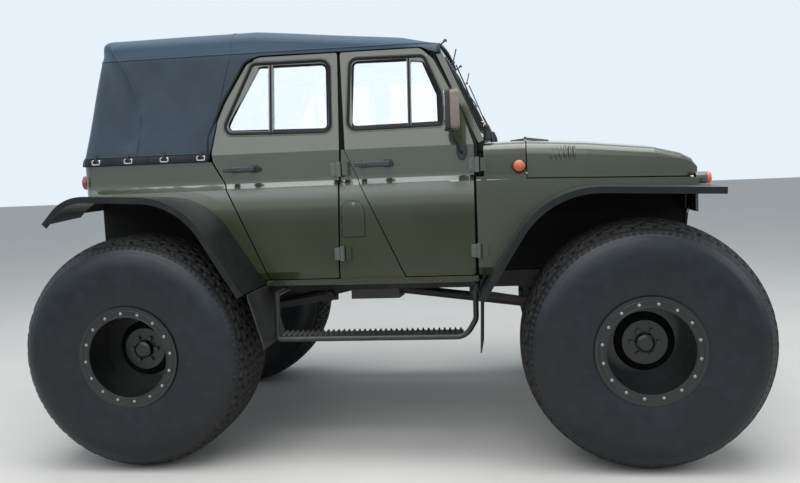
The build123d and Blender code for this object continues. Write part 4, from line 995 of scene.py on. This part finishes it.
def behind_door(flat):
    """Points 8 mm behind the doors' inner faces."""
    reach = np.interp(flat[:, 1], [1.018, 1.572, BELT_Z, 2.292], [0.806, 0.806, 0.788, 0.692]) - 0.008
    return np.stack((flat[:, 0], -reach, flat[:, 1]), -1), side_facing(flat[:, 1])


# Windows: outline of each opening, then the bar's X and its lower and upper ends
WINDOWS = [
    ("front", [(-0.207, 1.832, 0.065), (0.362, 1.838, 0.035), (0.358, 2.034, 0.10), (0.262, 2.262, 0.055),
               (-0.188, 2.268, 0.062)], (0.164, 1.842, 2.250)),
    ("rear", [(-0.955, 1.842, 0.060), (-0.268, 1.828, 0.060), (-0.272, 2.268, 0.070), (-0.752, 2.270, 0.050)],
     (-0.633, 1.842, 2.256)),
]
# Profiles across a strip: distance outwards from the outline, height over the skin
LIP = [(-0.001, -0.002), (-0.001, 0.001), (-0.003, 0.003), (-0.006, 0.003), (-0.008, 0.001), (-0.008, -0.002)]
SEAL = [(-0.009, -0.004), (-0.010, 0.001), (-0.014, 0.004), (-0.024, 0.002), (-0.036, -0.005),
        (-0.042, -0.014), (-0.038, -0.016), (-0.014, -0.012)]
BAR = [(0.011, -0.016), (0.008, -0.002), (0.004, 0.001), (-0.004, 0.001), (-0.008, -0.002), (-0.011, -0.016)]
for name, corners, (bar_x, bar_low, bar_high) in WINDOWS:
    pair(f"window_lip_{name}", round_opening(corners, LIP, at_skin), f"door_{name}", paint)
    bar_path = on_skin(np.column_stack((np.full(12, bar_x), np.linspace(bar_low, bar_high, 12))))
    seal = joined(round_opening(corners, SEAL, at_skin), moulding(bar_path, UPPER_OUT, BAR, False))
    pair(f"window_seal_{name}", seal, f"door_{name}", seal_rubber)

# Rubber-faced flanges of the body behind the doors' edges
FLANGE = [(0.016, -0.030), (0.016, -0.004), (0.008, 0.000), (-0.010, 0.000), (-0.022, -0.004),
          (-0.022, -0.030)]
DOOR_FRAMES = [
    [(-0.228, 2.290, 0.014), (0.232, 2.290, 0.060), (0.304, 2.222, 0.040), (0.452, 1.930), (0.517, 1.741),
     (0.514, 1.600), (0.508, 1.018, 0.016), (0.120, 1.018), (-0.206, 1.731, 0.030)],
    [(-0.244, 2.290, 0.014), (-0.240, 1.741), (-0.266, 1.018, 0.012), (-0.664, 1.018, 0.016), (-0.800, 1.329),
     (-0.901, 1.562), (-0.980, 1.704, 0.060), (-0.994, 1.840, 0.090), (-0.906, 2.039, 0.120),
     (-0.775, 2.258, 0.040), (-0.706, 2.290, 0.060)],
]
frames = joined(*[round_opening(corners, FLANGE, behind_door) for corners in DOOR_FRAMES])
twice("door_flanges", frames, seal_rubber)

# Box posts behind the joints of the doors: black strips 50 mm wide up the leaning sides, painted shade seen
# through the joints
POST = [(0.025, -0.03), (0.025, -0.006), (-0.025, -0.006), (-0.025, -0.03)]
post_z = np.linspace(1.05, 2.27, 14)
post_x = np.interp(post_z, [1.05, BELT_Z, 2.27], [-0.262, -0.234, -0.236])
post = moulding(*behind_door(np.column_stack((post_x, post_z))), POST, False)
# Black posts: painted shade behind the door joints
twice("door_posts", post, trim_black)

# Door handles: ends of the grip along X, with a round button in its rear half
round_button = turned([(0, 0.011), (0.005, 0.011), (0.007, 0.009)], 20)
for name, grip_low, grip_high in (("front", -0.140, 0.056), ("rear", -0.892, -0.716)):
    grip = slab([(grip_low - 0.003, 1.639, 0.008), (grip_high + 0.003, 1.641, 0.012),
                 (grip_high + 0.003, 1.669, 0.012), (grip_low - 0.003, 1.667, 0.008)], 0.8885, 0.9085, 0.005)
    feet = [slab(box(x - 0.002, 1.641, x + 0.028, 1.667, 0.004), 0.8155, 0.8925, 0.001)
            for x in (grip_low + 0.012, grip_high - 0.038)]
    base = slab(box(grip_high - 0.046, 1.632, grip_high + 0.006, 1.678, 0.010), 0.8225, 0.830, 0.002)
    button = standing(round_button, (grip_low + 0.055, 1.654, 0.9080))
    handle = placed(joined(grip, *feet, base, button), SIDE)
    pair(f"handle_{name}", handle, f"door_{name}", handle_black)

# Door hinges: a leaf plate with two screws, and a sleeve round each pin
screw = turned([(0, 0.0055), (0.002, 0.005), (0.003, 0.003)], 8)
sleeve = turned([(-0.042, 0.010), (-0.040, 0.0145), (0.040, 0.0145), (0.042, 0.010)], 20)
for name, hinge_x, heights in (("front", 0.532, (1.628, 1.156)), ("rear", -0.236, (1.633, 1.159))):
    plates = []
    for z in heights:
        far, near = hinge_x - 0.043, hinge_x - 0.010
        leaf = [(far, z - 0.035, 0.004), (near, z - 0.035, 0.002), (near, z + 0.035, 0.002),
                (far, z + 0.035, 0.004)]
        plates.append(slab(leaf, 0.8805, 0.8855, 0.0015))
        plates += [standing(screw, (hinge_x - 0.029, z + up, 0.8850)) for up in (-0.019, 0.019)]
        plates.append(standing(sleeve, (hinge_x, z, 0.884), (0, 1, 0)))
    pair(f"hinge_plates_{name}", placed(joined(*plates), SIDE), f"door_{name}", hinge_paint)

# Fuel filler flaps between the doors, each over a dark joint
FLAP = [(-0.234, 1.252, 0.012), (-0.104, 1.252, 0.012), (-0.104, 1.452, 0.062), (-0.234, 1.452, 0.062)]
JOINT = 0.004
joint = [(u + math.copysign(JOINT, u + 0.17), v + math.copysign(JOINT, v - 1.3), r + JOINT)
         for u, v, r in FLAP]
twice("flap_joint", placed(slab(joint, 0.8655, 0.8666, 0.0004), SIDE), seal_rubber)
flap_lock = standing(turned([(0, 0.010), (0.003, 0.010), (0.004, 0.008)], 20), (-0.163, 1.432, 0.8680))
flap = placed(joined(slab(FLAP, 0.866, 0.8685, 0.001, 8), flap_lock), SIDE)
twice("fuel_flap", flap, side_paint)
hinge_pin = tube([(-0.236, -0.8690, 1.300), (-0.236, -0.8690, 1.330)], 0.0035, (0, -1, 0), 8)
twice("flap_hinges", joined(hinge_pin, placed(hinge_pin, shift(0, 0, 0.085))), paint)

# Hood louvres: short pressed ribs that follow the hood's side and its bend, each over a black strip that
# paints the shade in its open slot
LOUVRE_Y = (0.7405, 0.7408, 0.7395, 0.7345, 0.7255, 0.713)
LOUVRE_Z = (1.632, 1.648, 1.668, 1.688, 1.7055, 1.7155)
louvre_path = np.column_stack((np.zeros(6), np.negative(LOUVRE_Y), LOUVRE_Z))
rib = tube(louvre_path, (0.001, 0.0055, 0.0068, 0.0068, 0.0055, 0.001), (1, 0, 0), 8, flat=0.95)
# Black strip behind each rib: painted shade in the louvre's open slot
slot_shade = tube(louvre_path[1:-1] + (-0.0085, 0.0004, 0), 0.0022, (1, 0, 0), 6, flat=1.3)
at_hood = [shift(0.941 + 0.0252 * k, 0, 0) for k in range(6)]
twice("hood_louvres", repeated(rib, at_hood), paint, "hood")
twice("louvre_slot_shade", repeated(slot_shade, at_hood), trim_black, "hood")

# Outside mirrors: a shell, a dark rim round the glass, a bent arm and its foot on the door
MIRROR = np.array([[0.0995, 0, -0.995, 0.405], [-0.995, 0, -0.0995, -1.030], [0, 1, 0, 1.922],
                   [0, 0, 0, 1]])
mirror_foot = [(0.438, 1.656, 0.004), (0.462, 1.656, 0.004), (0.479, 1.686, 0.004), (0.479, 1.740, 0.004),
               (0.422, 1.740, 0.004), (0.422, 1.686, 0.004)]
mirror_pad = [(0.442, 1.668, 0.003), (0.458, 1.668, 0.003), (0.469, 1.690, 0.003), (0.469, 1.730, 0.003),
              (0.432, 1.730, 0.003), (0.432, 1.690, 0.003)]
mirror_arm = [(0.450, -0.836, 1.700), (0.450, -0.915, 1.700), (0.447, -0.945, 1.712), (0.424, -1.000, 1.778),
              (0.420, -1.010, 1.800), (0.420, -1.010, 1.822)]
shell = placed(slab(box(-0.099, -0.107, 0.076, 0.107, 0.030), -0.051, 0.004, 0.016), MIRROR)
pair("mirror_shell", shell, "door_front", mirror_grey)
dark = joined(placed(slab(box(-0.100, -0.110, 0.078, 0.110, 0.026), 0.000, 0.026, 0.004), MIRROR),
              placed(slab(mirror_foot, 0.8225, 0.8375, 0.002), SIDE), tube(mirror_arm, 0.0105, (1, 0, 0), 12))
pair("mirror_rim_and_arm", dark, "door_front", trim_black)
pad = placed(slab(mirror_pad, 0.8365, 0.8400, 0.001), SIDE)
pair("mirror_foot_pad", pad, "door_front", handle_black)
pane = placed(slab(box(-0.088, -0.098, 0.066, 0.098, 0.018), 0.0255, 0.0275, 0.0005), MIRROR)
pair("mirror_glass", pane, "door_front", mirror_glass)


# Windscreen: rubber round the glass, the strip over its middle post, wipers on their motors
def on_glass(flat):
    """Points (across, up) on the leaning front of the windscreen frame."""
    flat = np.asarray(flat, float)
    points = np.array((0.574, 0, 1.757)) + flat[:, :1] * (0, 1, 0) + flat[:, 1:] * (-0.4036, 0, 0.9149)
    return points, np.broadcast_to((0.9149, 0, 0.4036), points.shape)


SCREEN = [(-0.696, 0.066, 0.045), (0.696, 0.066, 0.045), (0.642, 0.5227, 0.045), (-0.642, 0.5227, 0.045)]
SCREEN_SEAL = [(0.012, -0.001), (0.012, 0.004), (0.006, 0.007), (-0.004, 0.005), (-0.012, -0.004),
               (-0.012, -0.014)]
MIDDLE_STRIP = [(0.015, -0.006), (0.015, 0.000), (0.009, 0.004), (-0.009, 0.004), (-0.015, 0.000),
                (-0.015, -0.006)]
middle_path, middle_out = on_glass(np.column_stack((np.zeros(8), np.linspace(0.060, 0.528, 8))))
screen_foot = placed(slab(box(-0.764, 1.700, 0.764, 1.769), 0.538, 0.573, 0.004), NOSE)
screen_rubber = joined(round_opening(SCREEN, SCREEN_SEAL, on_glass), screen_foot,
                       moulding(middle_path, middle_out, MIDDLE_STRIP, False))
piece("windscreen_rubber", screen_rubber, "chassis", seal_rubber)

motor = [(0.567, 1.760, 0.006), (0.624, 1.752, 0.006), (0.619, 1.800, 0.010), (0.600, 1.846, 0.010),
         (0.574, 1.850, 0.008)]
# Round bars of a wiper, each with its radius, steps and path; the last one is its rest over the glass
WIPER_BARS = [
    (0.0080, 12, [(0.556, -0.705, 1.835), (0.572, -0.705, 1.866)]),
    (0.0064, 10, [(0.568, -0.705, 1.857), (0.546, -0.704, 1.908), (0.521, -0.702, 1.959)]),
    (0.0038, 8, [(0.521, -0.702, 1.955), (0.470, -0.700, 2.085), (0.428, -0.700, 2.187)]),
    (0.0040, 8, [(0.484, -0.700, 2.028), (0.440, -0.697, 2.098), (0.394, -0.694, 2.172)]),
    (0.0034, 8, [(0.400, -0.700, 2.190), (0.412, -0.700, 2.204), (0.424, -0.700, 2.245),
                 (0.431, -0.700, 2.275)]),
    (0.0045, 8, [(0.330, -0.690, 2.296), (0.352, -0.695, 2.310), (0.371, -0.700, 2.324)]),
]
bars = [tube(path, radius, (0, 1, 0), steps) for radius, steps, path in WIPER_BARS]
wiper = joined(placed(slab(motor, 0.672, 0.738, 0.008), SIDE), *bars[:-1],
               dome((0.412, -0.700, 2.198), (0.4, 0, 0.9), 0.009, 0.009, 0.004),
               dome((0.371, -0.700, 2.320), (0.2, 0, 1), 0.011, 0.011, 0.004), bars[-1])
twice("wipers", wiper, trim_black)
nut = ring((0.570, -0.705, 1.861), (0.4, 0, 0.9), 0.0105, 0.0032, 24)
twice("wiper_nuts", nut, bright_metal)

# Lamps: the middle of each one's foot on the body
PARKING_LAMP, INDICATOR = (1.704, -0.752, 1.504), (0.762, -0.765, 1.609)
HEADLAMP, TAIL_LAMP = (1.707, -0.470, 1.400), (-1.787, -0.722, 1.612)
shell = turned([(0, 0.0345), (0.052, 0.0345), (0.060, 0.0330), (0.0615, 0.030)], 28)
twice("parking_lamp_shells", standing(shell, PARKING_LAMP, (1, 0, 0)), paint)
# Domes: lamp, direction, distance from the lamp's foot, radius, height and foot of the dome
DOMES = [
    ("parking_lamp_domes", PARKING_LAMP, (1, 0, 0), 0.0600, (0.0338, 0.015, 0.0125), amber_lens, "amber"),
    ("indicator_domes", INDICATOR, (0, -1, 0), 0.0245, (0.0332, 0.012, 0.001), amber_lens, "amber"),
    ("tail_lamp_domes", TAIL_LAMP, (-1, 0, 0), 0.0265, (0.0422, 0.015, 0.001), red_lens, "red"),
]
for name, lamp, axis, reach, size, finish, slot in DOMES:
    twice(name, dome(np.array(lamp) + np.array(axis) * reach, axis, *size), finish)
lamp_rings = [ring(INDICATOR, (0, 1, 0), 0.0355, 0.0045), ring(TAIL_LAMP, (1, 0, 0), 0.0450, 0.0045),
              ring(HEADLAMP, (1, 0, 0), 0.0960, 0.0065)]
twice("lamp_rings", joined(*lamp_rings), trim_black)
twice("headlamp_rims", ring((1.7105, -0.470, 1.400), (1, 0, 0), 0.0885, 0.0040), bright_metal)

# Radiator behind the grille, with upright fins
cooler = placed(slab(box(-0.300, 1.255, 0.300, 1.515, 0.004), 1.655, 1.668, 0.002), NOSE)
fin = tube([(1.670, 0, 1.262), (1.670, 0, 1.508)], 0.0034, (1, 0, 0), 4)
fins = repeated(fin, [shift(0, -0.29 + 0.01 * k, 0) for k in range(59)])
piece("radiator", joined(cooler, fins), "chassis", trim_black)

# Coil springs: five turns, 43 mm in radius
turns = np.linspace(0, 5 * TURN, 121)
coil = np.stack((0.043 * np.cos(turns), 0.043 * np.sin(turns), 0.7303 + 0.1214 * turns / turns[-1]), -1)
spots = [shift(x, y, 0) for x in (AXLE_X, -AXLE_X) for y in (0.352, -0.352)]
springs = repeated(tube(coil, 0.009, (0, 0, 1), 8), spots)
coils = piece("coil_springs", springs, "chassis", chassis_black)
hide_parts("springs")

# Side steps: raised teeth of the open tread
tooth = turned([(0, 0.010), (0.016, 0.002)], 4)
spots = [shift(-0.575 + 0.030 * k, -0.885 - 0.026 * row, 0.7155) for k in range(34) for row in range(5)]
twice("step_teeth", repeated(tooth, spots), step_paint)

# Seats: cushions with piping, on their boxes
PIPED_ROW = 12


def piped(low, high):
    """A cushion and the piping round its upper edge."""
    form = cushion(low, high)
    row = form[0][PIPED_ROW * CUSHION_STEPS:(PIPED_ROW + 1) * CUSHION_STEPS]
    return joined(form, tube(row, 0.005, (0, 0, 1), 6, True))


SEAT_LEAN, SEAT_BACK_Z = 0.1515, 1.635


def seat_pads(x, y, half):
    """Cushion and backrest; the backrest's X falls by 0.1515 for each metre of height."""
    back = NOSE.copy()
    back[:3, 3] = (x - 0.01, y, SEAT_BACK_Z)
    lean = np.eye(4)
    lean[0, 2:] = -SEAT_LEAN, SEAT_LEAN * SEAT_BACK_Z
    seat = piped((x, y - half, 1.242), (x + 0.480, y + half, 1.392))
    return joined(seat, placed(piped((-half, -0.268, -0.062), (half, 0.268, 0.062)), lean @ back))


front_pads = twice("front_seat_pads", seat_pads(-0.250, -0.420, 0.240), seat_cloth, crease=50)
bench_pads = piece("rear_bench_pads", seat_pads(-0.900, 0.0, 0.560), "chassis", seat_cloth, 50)
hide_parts("front_seats")
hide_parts("rear_bench")
bench_side = [(-0.664, 1.162), (-0.490, 1.162), (-0.490, 1.250), (-0.860, 1.250), (-0.860, 1.132),
              (-0.664, 1.132)]
boxes = joined(both(slab(box(-0.200, -0.620, 0.180, -0.220, 0.02), 0.993, 1.250, 0.004)),
               both(slab(box(-0.620, -0.420, -0.500, -0.300, 0.01), 0.993, 1.164, 0.003)),
               placed(slab(bench_side, -0.520, 0.520, 0.003), SIDE))
piece("seat_boxes", boxes, "chassis", dash_black)

# Dashboard: three round gauges before the driver, a grab handle on the other side
AT_DRIVER = (-0.988, 0, 0.152)
dial = turned([(0, 0.037), (0.010, 0.037), (0.012, 0.034), (0.010, 0.031), (0.006, 0.030)], 28)
dials = [standing(dial, (0.464, y, 1.628), AT_DRIVER) for y in (0.290, 0.380, 0.470)]
grab_path = [(0.470, -0.52, 1.640), (0.425, -0.52, 1.645), (0.425, -0.30, 1.645), (0.470, -0.30, 1.640)]
grab = tube(rounded_bar(grab_path), 0.009, (0, 0, 1), 10)
piece("gauges_and_grab_handle", joined(*dials, grab), "chassis", trim_black)

# Tailgate: pressed ribs and a pull handle
ribs = [slab(box(u - 0.024, 1.200, u + 0.024, 1.600, 0.022), 1.7825, 1.7905, 0.004)
        for u in (-0.375, -0.125, 0.125, 0.375)]
piece("tailgate_ribs", placed(joined(*ribs), TAIL), "tailgate", paint)
pull = [slab(box(-0.075, 1.636, 0.075, 1.658, 0.008), 1.804, 1.816, 0.004)]
pull += [slab(box(u - 0.010, 1.638, u + 0.010, 1.656, 0.003), 1.7825, 1.8065, 0.001) for u in (-0.058, 0.058)]
piece("tailgate_pull", placed(joined(*pull), TAIL), "tailgate", handle_black)

# Quarter panels: a short upright pressed line near the corner
bead_path = on_skin(np.column_stack((np.full(8, -1.742), np.linspace(1.580, 1.688, 8))), -0.0045)
bead = tube(bead_path, (0.001, 0.0045, 0.007, 0.007, 0.007, 0.007, 0.0045, 0.001), (0, -1, 0), 8)
twice("quarter_beads", bead, paint)

# Lamps of the stage: name, place, point they look at, width and height, power
LAMPS = [
    ("sky_lamp", (0, -1.0, 7.0), (0, 0, 1), (8, 6), 500),
    ("near_lamp", (-1.5, -6.2, 7.6), (0, 0, 1.2), (7, 3), 160),
    ("window_lamp", (-2.2, -8.6, 5.2), (0, 0, 1.2), (11, 5), 215),
    ("nose_lamp", (7.0, -3.0, 4.0), (0.5, 0, 1.0), (4, 4), 110),
]
FLOOR_REACH = 40
# Strength of the world as a light, and as what the camera, mirrors and panes see
WORLD_LIGHT, WORLD_SEEN = 0.55, 0.96


# Floor and light
def make_stage():
    """A wide pale floor, a pale world that lights softly, and four large soft lamps."""
    floor = bpy.data.meshes.new("floor")
    corners = [(x * FLOOR_REACH, y * FLOOR_REACH, 0) for x, y in ((-1, -1), (1, -1), (1, 1), (-1, 1))]
    floor.from_pydata(corners, [], [(0, 1, 2, 3)])
    ground = bpy.data.objects.new("floor", floor)
    scene.collection.objects.link(ground)
    f = Finish("floor")
    grain = f.noise(1.3, 3)
    floor.materials.append(f.end(f.mix(grain, tone(196, 194, 190), tone(206, 204, 200)), 0.9))

    world = bpy.data.worlds.new("world")
    scene.world = world
    sky = Nodes(world)
    kinds = ("Camera", "Glossy", "Transmission")
    rays = [sky.node("ShaderNodeLightPath", output=f"Is {kind} Ray") for kind in kinds]
    sockets = {"Value": rays[0] + rays[1] + rays[2], "To Min": WORLD_LIGHT, "To Max": WORLD_SEEN}
    strength = sky.node("ShaderNodeMapRange", {}, sockets)
    light = sky.node("ShaderNodeBackground", {}, {"Color": (0.83, 0.92, 1.0, 1), "Strength": strength})
    sky.node("ShaderNodeOutputWorld", {}, {"Surface": light})

    for name, place, aim, size, power in LAMPS:
        lamp = bpy.data.lights.new(name, "AREA")
        lamp.shape = "RECTANGLE"
        lamp.size, lamp.size_y = size
        lamp.energy = power
        made = bpy.data.objects.new(name, lamp)
        made.location = place
        made.rotation_euler = (Vector(aim) - Vector(place)).to_track_quat("-Z", "Y").to_euler()
        scene.collection.objects.link(made)


make_stage()
scene.view_settings.view_transform = "Standard"
